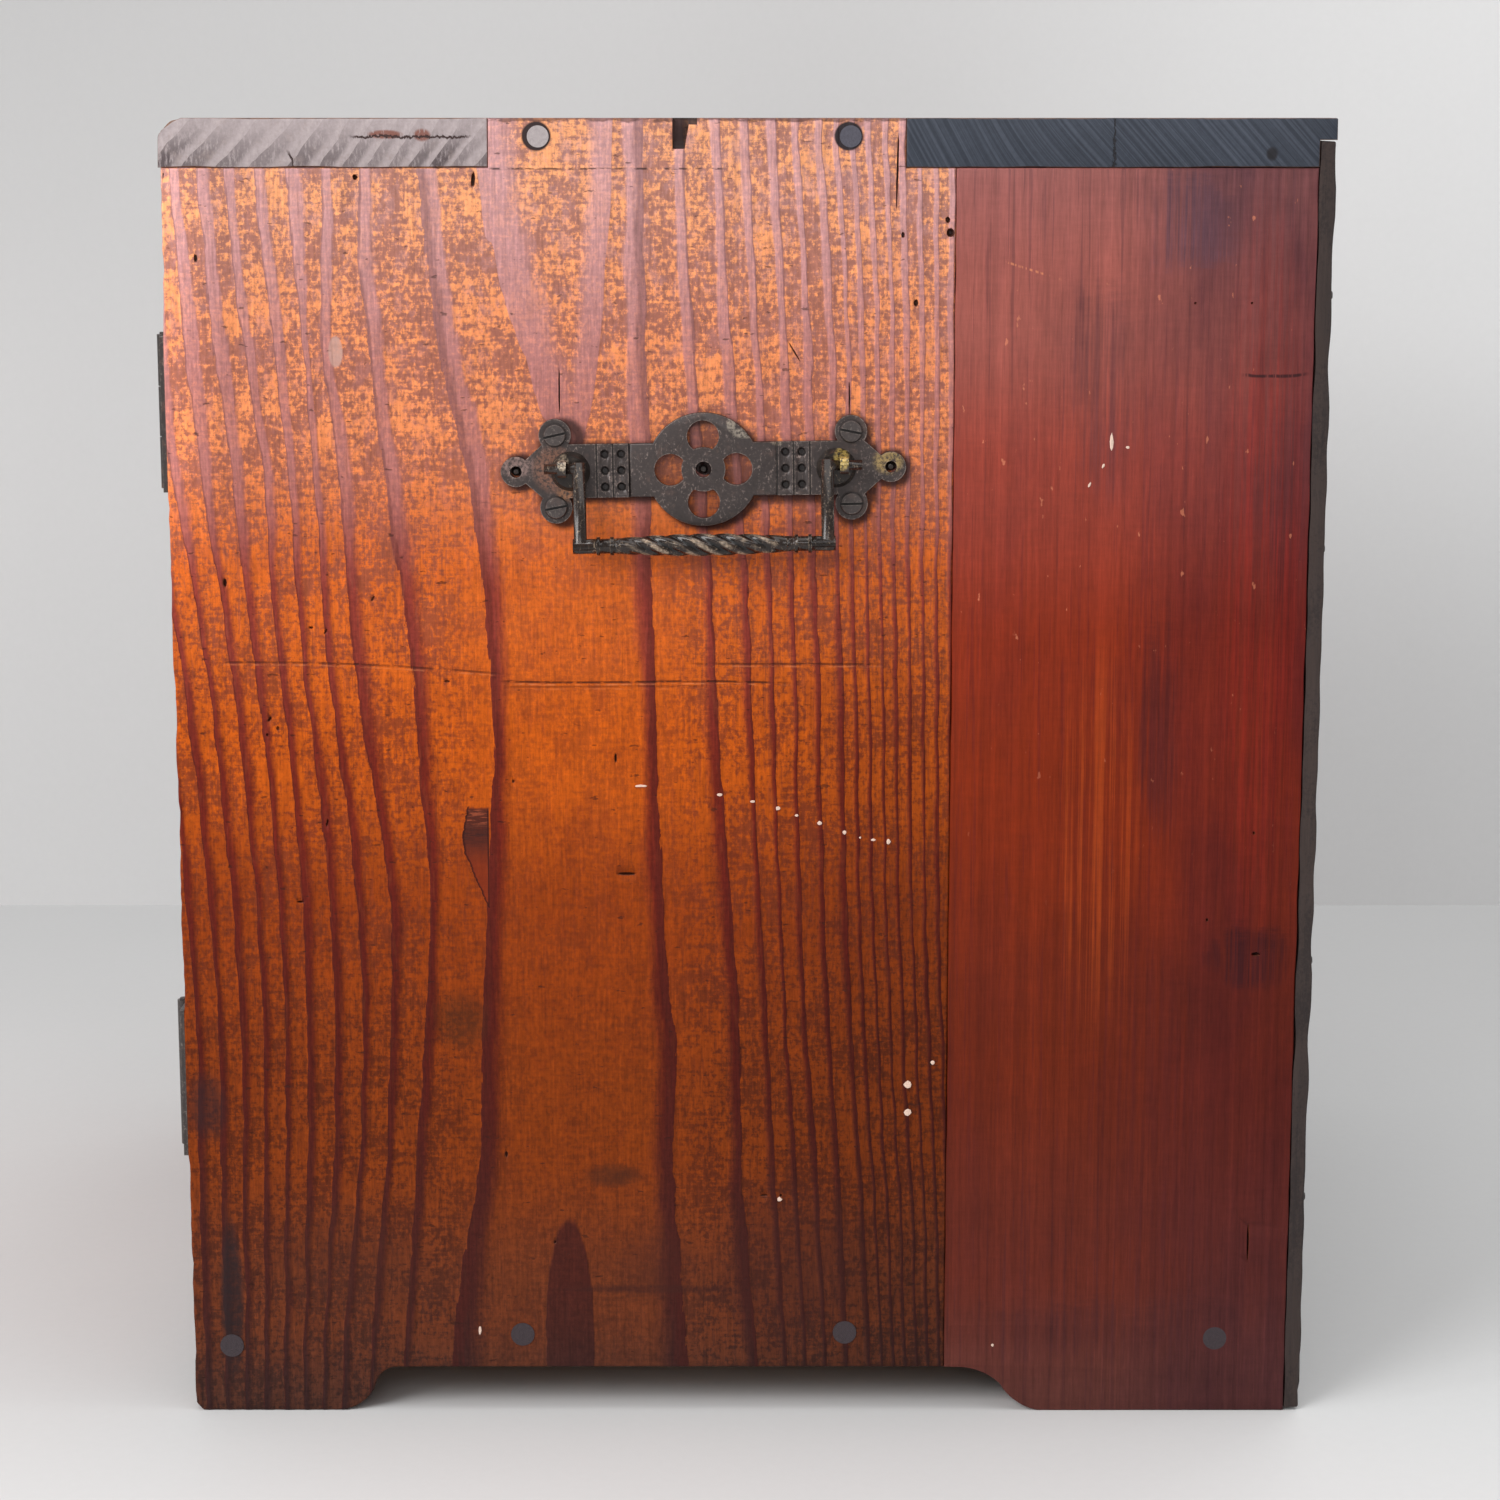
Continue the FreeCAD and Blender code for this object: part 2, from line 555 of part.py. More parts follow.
def twisted_core():
    """The grip's swelling twisted part: four-ridged sections, each turned a little further."""
    reach, lead = number(COLLAR_INNER), number("twist_lead")
    ends, middle = number("twist_ends"), number("twist_middle")
    groove = number("twist_groove")
    ridges, steps = 4, 28
    fullness = 0.8  # below 1 the swelling keeps its full size further from the middle
    wires = []
    for step in range(steps + 1):
        along = -reach + 2 * reach * step / steps
        swell = math.cos(math.pi / 2 * along / reach) ** fullness if abs(along) < reach else 0.0
        crest = ends + (middle - ends) * swell
        valley = crest - groove * swell
        turn = 2 * math.pi * along / lead
        corners = []
        for corner in range(2 * ridges):
            radius = crest if corner % 2 == 0 else valley
            angle = turn + math.pi * corner / ridges
            corners.append(FreeCAD.Vector(radius * math.cos(angle), along,
                                          -radius * math.sin(angle)))
        wires.append(Part.makePolygon(corners + corners[:1]))
    core = doc.addObject("Part::Feature", "twisted_core")
    core.Shape = Part.makeLoft(wires, True, True)
    return place(core, (PIVOT_X, "0", GRIP_Z))


def handle_bail():
    """The bail: pins, arms, a bar with collars, and the twisted core."""
    pieces = [twisted_core()]
    for end in BOTH:
        pin_start = (PIVOT_X, ARM if end > 0 else f"-{PIN_END}", "pivot_rise")
        pin = rod(pin_start, Y_AXIS, "pin_radius", f"{PIN_END} - {ARM}")
        arm_start = (PIVOT_X, f"{end} * {ARM}", f"{GRIP_Z} - arm_radius")
        arm = rod(arm_start, Z_AXIS, "arm_radius", "bail_drop + 2 * arm_radius")
        bar_start = (PIVOT_X, COLLAR_INNER if end > 0 else f"-{ARM} - bar_radius", GRIP_Z)
        bar = rod(bar_start, Y_AXIS, "bar_radius", f"{ARM} + bar_radius - {COLLAR_INNER}")
        pieces += [pin, arm, bar]
        for collar in (COLLAR_OUTER, COLLAR_INNER):
            start = f"{end} * {collar} - collar_width / 2"
            pieces.append(rod((PIVOT_X, start, GRIP_Z), Y_AXIS, "collar_radius", "collar_width"))
    return fuse(pieces)


handle_shapes = {
    "handle_screws": group(handle_screws()),
    "handle_nails": group(handle_nails()),
    "handle_posts": group(handle_posts()),
    "bail": handle_bail(),
}
handle_shapes["handle_plate"] = cut(handle_plate(), handle_drills)


def hung(shape, side):
    """A piece of the handle, tilted as the plate hangs and set on one side of the chest."""
    tilted = group([shape], FreeCAD.Rotation(X_AXIS, 1))
    tilted.setExpression("Placement.Rotation.Angle", formula("handle_tilt"))
    spot = (RIGHT if side == "right" else LEFT, f"{FRONT} + {TAB_MIDDLE} + handle_behind",
            "case_height - handle_drop")
    return group([tilted], FreeCAD.Rotation(Z_AXIS, 0 if side == "right" else 180), spot)


for side in ("right", "left"):
    for name, shape in handle_shapes.items():
        named(hung(shape, side), f"{side}_{name}")


# ---- hinges --------------------------------------------------------------------------------

LEAF_WIDTH = "(side_thick - leaf_margin)"
hinge_nails = {"case": [], "door": []}


def hinge(level, height):
    """A butt hinge at the joint line: two outer knuckles on the case, one on the door."""
    low = f"({height} - hinge_height / 2)"
    knuckle = "(hinge_height / 3)"
    spans = {
        "case": ((low, knuckle), (f"{low} + 2 * {knuckle}", knuckle)),
        "door": ((f"{low} + {knuckle} + knuckle_gap", f"{knuckle} - 2 * knuckle_gap"),),
    }
    bores = {"case": "hinge_pin_radius", "door": "hinge_pin_radius + hinge_pin_play"}
    clear = f"({KNUCKLE} + knuckle_gap)"
    bore_start = (RIGHT_INSIDE, HINGE_Y, f"{low} - hinge_height")
    for part, sign in (("case", 1), ("door", -1)):
        inner = f"{RIGHT_INSIDE} + {sign} * {clear}"
        outer = f"{RIGHT_INSIDE} + {sign} * {LEAF_WIDTH}"
        left, right = (inner, outer) if sign > 0 else (outer, inner)
        top = f"{low} + hinge_height"
        pieces = [box((left, f"{FRONT} - leaf_thick", low), (right, FRONT, top))]
        for start, tall in spans[part]:
            pieces.append(rod((RIGHT_INSIDE, HINGE_Y, start), Z_AXIS, KNUCKLE, tall))
            left, right = (RIGHT_INSIDE, inner) if sign > 0 else (inner, RIGHT_INSIDE)
            pieces.append(box((left, f"{FRONT} - leaf_thick", start),
                              (right, FRONT, f"{start} + {tall}")))
        bore = rod(bore_start, Z_AXIS, bores[part], "3 * hinge_height")
        across = f"{RIGHT_INSIDE} + {sign} * ({clear} + {LEAF_WIDTH}) / 2"
        nail_step = "(hinge_height / 2 - hinge_nail_edge)"
        spots = [(across, f"{FRONT} - leaf_thick", f"{height} + {step} * {nail_step}")
                 for step in (-1, 0, 1)]
        nails = iron_nails(spots, 1)
        leaf = cut(fuse(pieces), [bore] + nails)
        named(leaf, f"{level}_hinge_{part}_leaf")
        hinge_nails[part] += nails
    shank = rod((RIGHT_INSIDE, HINGE_Y, low), Z_AXIS, "hinge_pin_radius", "hinge_height")
    foot = rod((RIGHT_INSIDE, HINGE_Y, f"{low} - hinge_pin_reach"), Z_AXIS,
               "hinge_pin_head", "hinge_pin_reach")
    head = rod((RIGHT_INSIDE, HINGE_Y, f"{low} + hinge_height"), Z_AXIS,
               "hinge_pin_head", "hinge_pin_reach")
    named(fuse([shank, foot, head]), f"{level}_hinge_pin")


hinge("upper", f"({UNDER_TOP} - hinge_upper_drop)")
hinge("lower", f"({ON_FLOOR} + hinge_lower_rise)")
named(group(hinge_nails["case"]), "hinge_case_nails")
named(group(hinge_nails["door"]), "hinge_door_nails")


# ---- lock and strike -----------------------------------------------------------------------

LOCK_Z = f"(({DOOR_LOW} + {DOOR_HIGH}) / 2 + lock_rise)"
LOCK_LOW = f"({LOCK_Z} - lock_tall / 2)"
LOCK_DEEP = "(door_thick - lock_skin)"
LOCK_FRONT = f"({FRONT} + lock_skin)"
BOLT_Y = f"({DOOR_BACK} - {LOCK_DEEP} / 2)"
BOLT_LOW = f"({LOCK_Z} - bolt_tall / 2)"
KEY_X = f"({DOOR_LEFT} + key_across)"
KEY_Z = f"({LOCK_Z} - bolt_tall)"
MORTISE_REACH = "(bolt_travel - door_gap + mortise_spare)"


def bolt_block(start_x, end_x, play):
    """A block around the bolt's section, larger all round by play."""
    return box((start_x, f"{BOLT_Y} - bolt_thick / 2 - {play}", f"{BOLT_LOW} - {play}"),
               (end_x, f"{BOLT_Y} + bolt_thick / 2 + {play}", f"{BOLT_LOW} + bolt_tall + {play}"))


def keyhole(low_y, high_y):
    """The keyhole's shape between two depths."""
    round_part = rod((KEY_X, low_y, KEY_Z), Y_AXIS, "key_radius", f"{high_y} - ({low_y})")
    slot = box((f"{KEY_X} - key_slot / 2", low_y, f"{KEY_Z} - key_drop"),
               (f"{KEY_X} + key_slot / 2", high_y, KEY_Z))
    return fuse([round_part, slot])


lock_corners = ((DOOR_LEFT, LOCK_FRONT, LOCK_LOW),
                (f"{DOOR_LEFT} + lock_width", DOOR_BACK, f"{LOCK_LOW} + lock_tall"))
lock_body = box(*lock_corners)
bolt_way = bolt_block(DOOR_LEFT, f"{DOOR_LEFT} + bolt_length + bolt_gap", "bolt_gap")
key_way = keyhole(LOCK_FRONT, BOLT_Y)
named(cut(lock_body, [bolt_way, key_way]), "lock_case")
named(bolt_block(DOOR_LEFT, f"{DOOR_LEFT} + bolt_length", "0"), "lock_bolt")

strike_half_y = "(bolt_thick / 2 + strike_border / 2)"
strike_plate = box(
    (f"{LEFT_INSIDE} - strike_thick", f"{BOLT_Y} - {strike_half_y}", f"{BOLT_LOW} - strike_border"),
    (LEFT_INSIDE, f"{BOLT_Y} + {strike_half_y}", f"{BOLT_LOW} + bolt_tall + strike_border"))
mortise = bolt_block(f"{LEFT_INSIDE} - {MORTISE_REACH}", LEFT_INSIDE, "2 * bolt_gap")
named(cut(strike_plate, [mortise]), "strike_plate")

escutcheon = rod((KEY_X, f"{FRONT} - escutcheon_thick", f"{KEY_Z} - key_drop / 3"), Y_AXIS,
                 "escutcheon_radius", "escutcheon_thick")
named(cut(escutcheon, [keyhole(f"{FRONT} - escutcheon_thick", FRONT)]), "keyhole_plate")


# ---- ring pull -----------------------------------------------------------------------------

PULL_X = f"({DOOR_LEFT} + pull_across)"
PULL_Y = f"({FRONT} - pull_stand)"
PULL_Z = f"({LOCK_Z} + pull_rise)"
PULL_FACE = f"({FRONT} - pull_rose_thick)"

pull_stem = rod((PULL_X, PULL_Y, PULL_Z), Y_AXIS, "pull_tail_radius", "pull_stand + pull_tail")
pull_eye = rod((f"{PULL_X} - pull_eye_width / 2", PULL_Y, PULL_Z), X_AXIS,
               PULL_EYE, "pull_eye_width")
pull_bore = rod((f"{PULL_X} - pull_eye_width", PULL_Y, PULL_Z), X_AXIS,
                "pull_wire + pull_play", "2 * pull_eye_width")
named(cut(fuse([pull_stem, pull_eye]), [pull_bore]), "pull_post")
rose = rod((PULL_X, PULL_FACE, PULL_Z), Y_AXIS, "pull_rose", "pull_rose_thick")
rose_hole = rod((PULL_X, PULL_FACE, PULL_Z), Y_AXIS, "pull_tail_radius", "pull_rose_thick")
named(cut(rose, [rose_hole]), "pull_rose")
ring = doc.addObject("Part::Torus", "ring")
bind(ring, Radius1="pull_ring", Radius2="pull_wire")
place(ring, (PULL_X, PULL_Y, f"{PULL_Z} - pull_ring"), FreeCAD.Rotation(Z_AXIS, Y_AXIS))
named(ring, "pull_ring")


# ---- door ----------------------------------------------------------------------------------
# Two upright planks with a tongue at each end, held flat by grooved cleats.

PLANK_LOW = f"({DOOR_LOW} + cleat_height)"
PLANK_HIGH = f"({DOOR_HIGH} - cleat_height)"
TONGUE_FRONT = f"({FRONT} + (door_thick - tongue_thick) / 2)"


def door_plank(left, right):
    """An upright plank with its two tongues."""
    face = (
        ("0", "tongue_length"), (f"({right}) - ({left})", "tongue_length"),
        (f"({right}) - ({left})", f"tongue_length + {PLANK_HIGH} - {PLANK_LOW}"),
        ("0", f"tongue_length + {PLANK_HIGH} - {PLANK_LOW}"),
    )
    spot = (left, DOOR_BACK, f"{PLANK_LOW} - tongue_length")
    plank = padded("XZ_Plane", face, "door_thick", spot)
    tongue = box((left, TONGUE_FRONT, f"{PLANK_LOW} - tongue_length"),
                 (right, f"{TONGUE_FRONT} + tongue_thick", f"{PLANK_HIGH} + tongue_length"))
    return fuse([plank, tongue])


def door_cleat(low, groove_low):
    """A cross piece with a groove along one edge for the planks' tongues."""
    rail = box((DOOR_LEFT, FRONT, low), (DOOR_RIGHT, DOOR_BACK, f"{low} + cleat_height"))
    groove = box((DOOR_LEFT, TONGUE_FRONT, groove_low),
                 (DOOR_RIGHT, f"{TONGUE_FRONT} + tongue_thick", f"{groove_low} + tongue_length"))
    return cut(rail, [groove])


DOOR_JOINT = f"({DOOR_LEFT} + door_seam)"
key_cut = keyhole(FRONT, LOCK_FRONT)
tail_hole = rod((PULL_X, FRONT, PULL_Z), Y_AXIS, "pull_tail_radius", "pull_tail")
left_cuts = [box(*lock_corners), key_cut, tail_hole]
named(cut(door_plank(DOOR_LEFT, DOOR_JOINT), left_cuts), "door_left_plank")
named(cut(door_plank(DOOR_JOINT, DOOR_RIGHT), hinge_nails["door"]), "door_right_plank")
named(door_cleat(f"({DOOR_HIGH} - cleat_height)", PLANK_HIGH), "door_top_cleat")
named(door_cleat(DOOR_LOW, f"({PLANK_LOW} - tongue_length)"), "door_bottom_cleat")


# ---- nails of the back boards ---------------------------------------------------------------

BACK_EDGES = (LEFT, f"({LEFT} + back_board_width)", f"({RIGHT} - back_board_width)", RIGHT)
NAIL_LEVELS = {
    "bottom": FLOOR_MIDDLE,
    "shelf": "shelf_height + shelf_thick / 2",
    "top": f"{UNDER_TOP} + (top_thick - back_drop) / 2",
}
# Where the nails stand, as shares of a back board's width and of the case's height.
BOARD_NAIL_SHARES = (0.22, 0.78)
SIDE_NAIL_SHARES = (0.17, 0.36, 0.68, 0.87)
back_nails = {}
for level, height in NAIL_LEVELS.items():
    spots = [(f"{near} + (({far}) - ({near})) * {share}", BACK, height)
             for near, far in zip(BACK_EDGES, BACK_EDGES[1:]) for share in BOARD_NAIL_SHARES]
    back_nails[level] = iron_nails(spots, -1)
for side, outer in (("right", f"{RIGHT} - side_thick / 2"), ("left", f"{LEFT} + side_thick / 2")):
    spots = [(outer, BACK, f"case_height * {share}") for share in SIDE_NAIL_SHARES]
    back_nails[side] = iron_nails(spots, -1)
all_back_nails = [nail for nails in back_nails.values() for nail in nails]
named(group(all_back_nails), "back_nails")


# ---- sides ---------------------------------------------------------------------------------

FRONT_CUSP = "front_foot + front_toe_run"
FRONT_BOARD = (
    ("foot_chamfer", "0"), ("front_foot", "0"), (FRONT_CUSP, "front_toe_rise"),
    (f"{FRONT_CUSP} + front_cove_run", "arch_height"), (SIDE_SEAM, "arch_height"),
    (SIDE_SEAM, UNDER_TOP), (TAB_REAR, UNDER_TOP), (TAB_REAR, "case_height"),
    ("tab_front", "case_height"), ("tab_front", UNDER_TOP), ("0", UNDER_TOP),
    ("0", "foot_chamfer"),
)
FRONT_ARCS = {1: ("front_toe_radius", -1), 2: ("front_cove_radius", 1)}
REAR_BEND = f"{SIDE_SEAM} + arch_past_seam + rear_cove_run"
REAR_BOARD = (
    (SIDE_SEAM, "arch_height"), (f"{SIDE_SEAM} + arch_past_seam", "arch_height"),
    (REAR_BEND, "rear_toe_rise"), (f"{REAR_BEND} + rear_toe_run", "0"), (SIDE_BACK, "0"),
    (SIDE_BACK, UNDER_TOP), (SIDE_SEAM, UNDER_TOP),
)
REAR_ARCS = {1: ("rear_cove_radius", 1), 2: ("rear_toe_radius", -1)}

SHELF_SPAN = ((f"{LEFT_INSIDE} - housing", STOP_BACK, "shelf_height"),
              (f"{RIGHT_INSIDE} + housing", BACK_INSIDE, "shelf_height + shelf_thick"))
FLOOR_SPAN = ((f"{LEFT_INSIDE} - housing", FRONT, UNDER_FLOOR),
              (f"{RIGHT_INSIDE} + housing", BACK_INSIDE, ON_FLOOR))

# A splinter is missing from the top of the right tab, at its outer face.
CHIP_FRONT = "tab_front + chip_behind"
CHIP = (
    (CHIP_FRONT, "case_height"), (CHIP_FRONT, "case_height - chip_deep"),
    (f"{CHIP_FRONT} + chip_deep_width", "case_height - chip_deep"),
    (f"{CHIP_FRONT} + chip_deep_width + chip_slope", "case_height - chip_shallow"),
    (f"{CHIP_FRONT} + chip_width", "case_height - chip_shallow"),
    (f"{CHIP_FRONT} + chip_width", "case_height"),
)
chip = padded("YZ_Plane", CHIP, "chip_inward", (f"{RIGHT} - chip_inward", FRONT, "0"))

for side in ("right", "left"):
    spot = (RIGHT_INSIDE if side == "right" else LEFT, FRONT, "0")
    own_cuts = hinge_nails["case"] + [chip] if side == "right" else [mortise, strike_plate]
    tools = [box(*SHELF_SPAN), box(*FLOOR_SPAN), hung(group(handle_drills), side)]
    tools += bottom_pegs[side] + tab_pegs[side] + back_nails[side] + own_cuts
    front_board = padded("YZ_Plane", FRONT_BOARD, "side_thick", spot, FRONT_ARCS)
    rear_board = padded("YZ_Plane", REAR_BOARD, "side_thick", spot, REAR_ARCS)
    named(cut(front_board, tools), f"{side}_side_front_board")
    named(cut(rear_board, tools), f"{side}_side_rear_board")


# ---- top, bottom, back, shelf and stops ----------------------------------------------------

# The top's two boards meet in the middle of the tabs, so no joint shows from the side.
TAB_START = f"({FRONT} + tab_front)"
TAB_END = f"({FRONT} + {TAB_REAR})"
TOP_JOINT = f"({FRONT} + {TAB_MIDDLE})"
notches = [box((RIGHT_INSIDE, TAB_START, UNDER_TOP), (RIGHT, TAB_END, "case_height")),
           box((LEFT, TAB_START, UNDER_TOP), (LEFT_INSIDE, TAB_END, "case_height"))]
rabbet = box((LEFT, BACK_INSIDE, UNDER_TOP), (RIGHT, BACK, "case_height - back_drop"))
top_tools = notches + tab_pegs["right"] + tab_pegs["left"]
top_profile = (
    ("0", "0"), (TAB_MIDDLE, "0"), (TAB_MIDDLE, "top_thick"), ("top_round", "top_thick"),
    ("0", "top_thick - top_round"),
)
top_front = padded("YZ_Plane", top_profile, "case_width", (LEFT, FRONT, UNDER_TOP),
                   {3: ("top_round", -1)})
top_rear = box((LEFT, TOP_JOINT, UNDER_TOP), (RIGHT, BACK, "case_height"))
named(cut(top_front, top_tools), "top_front_board")
named(cut(top_rear, top_tools + [rabbet] + back_nails["top"]), "top_rear_board")

FLOOR_JOINT = f"({FRONT} + floor_seam)"
floor_low, floor_high = FLOOR_SPAN
floor_pegs = bottom_pegs["right"] + bottom_pegs["left"]
bottom_front = box(floor_low, (floor_high[0], FLOOR_JOINT, ON_FLOOR))
bottom_rear = box((floor_low[0], FLOOR_JOINT, UNDER_FLOOR), floor_high)
named(cut(bottom_front, floor_pegs), "bottom_front_board")
named(cut(bottom_rear, floor_pegs + back_nails["bottom"]), "bottom_rear_board")
named(cut(box(*SHELF_SPAN), back_nails["shelf"]), "shelf")

named(box((LEFT_INSIDE, STOP_FRONT, f"{UNDER_TOP} - stop_thick"),
          (RIGHT_INSIDE, STOP_BACK, UNDER_TOP)), "top_door_stop")
named(box((LEFT_INSIDE, STOP_FRONT, ON_FLOOR),
          (f"{LEFT_INSIDE} + stop_thick", STOP_BACK, f"{UNDER_TOP} - stop_thick")),
      "side_door_stop")

for index, which in enumerate(("left", "middle", "right")):
    near, far = BACK_EDGES[index], BACK_EDGES[index + 1]
    board = box((near, BACK_INSIDE, "back_lift"), (far, BACK, "case_height - back_drop"))
    named(cut(board, all_back_nails), f"back_{which}_board")


# ---- checks and files ----------------------------------------------------------------------

doc.recompute()
for thing in doc.Objects:
    if "Invalid" in thing.State or "Error" in thing.State:
        raise RuntimeError(f"{thing.Name} ({thing.Label}) did not recompute: {thing.State}")

os.makedirs("parts", exist_ok=True)
for node in nodes:
    shape = node.Shape
    if shape.isNull() or not shape.isValid() or not shape.Solids:
        raise RuntimeError(f"{node.Label} is not a valid solid")
    shape.exportStep(f"parts/{node.Label}.step")
print(f"{len(nodes)} pieces written")
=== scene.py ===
import math

import bmesh
import bpy
import numpy as np
from mathutils import Euler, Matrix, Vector, noise


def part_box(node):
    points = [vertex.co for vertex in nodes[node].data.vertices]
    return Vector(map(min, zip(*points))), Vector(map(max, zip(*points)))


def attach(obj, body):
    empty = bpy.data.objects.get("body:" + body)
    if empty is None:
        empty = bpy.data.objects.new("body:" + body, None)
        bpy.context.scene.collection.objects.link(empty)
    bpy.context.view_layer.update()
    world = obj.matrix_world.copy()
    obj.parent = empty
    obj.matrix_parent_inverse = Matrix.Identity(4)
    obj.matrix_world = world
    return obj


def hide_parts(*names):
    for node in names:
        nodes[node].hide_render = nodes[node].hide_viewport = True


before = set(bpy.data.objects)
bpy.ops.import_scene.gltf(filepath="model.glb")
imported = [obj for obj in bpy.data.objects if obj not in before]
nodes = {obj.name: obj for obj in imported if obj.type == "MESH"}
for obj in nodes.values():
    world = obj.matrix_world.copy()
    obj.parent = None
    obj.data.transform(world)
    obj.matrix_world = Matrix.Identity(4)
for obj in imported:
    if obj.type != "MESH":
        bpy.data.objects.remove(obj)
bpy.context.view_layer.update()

MM = 0.001
FRONT = -210.1          # the front edge of the side boards, in mm; depths below are counted from it
CASE_HEIGHT = 500
SIDE_FACE = 220         # the sides' outer faces, from the middle of the chest
RUBBED_AND_HIGHLIT_EDGE = 0.7       # how far a metal edge's lighter rim reaches: rubbed wear and a painted highlight
# The colour painted as shade in pits and dents below a side's face.
PIT_SHADE = (34, 18, 14)
SCENE = bpy.context.scene


# ---------------------------------------------------------------- materials as formulas

def srgb(red, green, blue):
    """A colour written as 0-255 screen values, as Blender's linear colour."""
    def linear(v):
        v /= 255
        return v / 12.92 if v <= 0.04045 else ((v + 0.055) / 1.055) ** 2.4
    return linear(red), linear(green), linear(blue), 1


class Signal:
    """A number that varies over a surface. Arithmetic on signals adds math nodes."""

    def __init__(self, paint, socket):
        self.paint, self.socket = paint, socket

    def math(self, operation, other=None, clamp=False, swap=False):
        ends = [self, other] if not swap else [other, self]
        values = {i: v for i, v in enumerate(ends) if v is not None}
        return self.paint.signal("ShaderNodeMath", values, operation=operation, use_clamp=clamp)

    def __rsub__(self, other):
        return self.math("SUBTRACT", other, swap=True)

    def clamped(self):
        return self.math("ADD", 0, clamp=True)

    def rise(self, low, high):
        """0 below low, 1 above high, smooth between them."""
        return self.paint.signal("ShaderNodeMapRange", {"Value": self, "From Min": low, "From Max": high},
                                 interpolation_type="SMOOTHSTEP")

    def fall(self, low, high):
        """1 below low, 0 above high."""
        return 1 - self.rise(low, high)

    def near(self, place, low, high):
        """1 within low of a place, 0 beyond high from it."""
        return (self - place).size().fall(low, high)

    def curve(self, points, x_range, y_range):
        """A smooth curve through (x, y) points, with both ranges given in the points' own units."""
        node = self.paint.tree.nodes.new("ShaderNodeFloatCurve")
        line = node.mapping.curves[0]
        spots = sorted(((x - x_range[0]) / (x_range[1] - x_range[0]),
                        (y - y_range[0]) / (y_range[1] - y_range[0])) for x, y in points)
        line.points[0].location, line.points[1].location = spots[0], spots[-1]
        for spot in spots[1:-1]:
            line.points.new(*spot)
        for point in line.points:
            point.handle_type = "AUTO_CLAMPED"
        node.mapping.update()
        self.paint.feed(node, {"Value": (self - x_range[0]) / (x_range[1] - x_range[0])})
        return Signal(self.paint, node.outputs[0]) * (y_range[1] - y_range[0]) + y_range[0]


for method, operation in (
        ("__add__", "ADD"), ("__radd__", "ADD"), ("__sub__", "SUBTRACT"), ("__mul__", "MULTIPLY"),
        ("__truediv__", "DIVIDE"), ("__gt__", "GREATER_THAN"), ("least", "MINIMUM"), ("most", "MAXIMUM"),
        ("power", "POWER"), ("fract", "FRACT"), ("floor", "FLOOR"), ("size", "ABSOLUTE")):
    setattr(Signal, method, lambda self, other=None, operation=operation: self.math(operation, other))


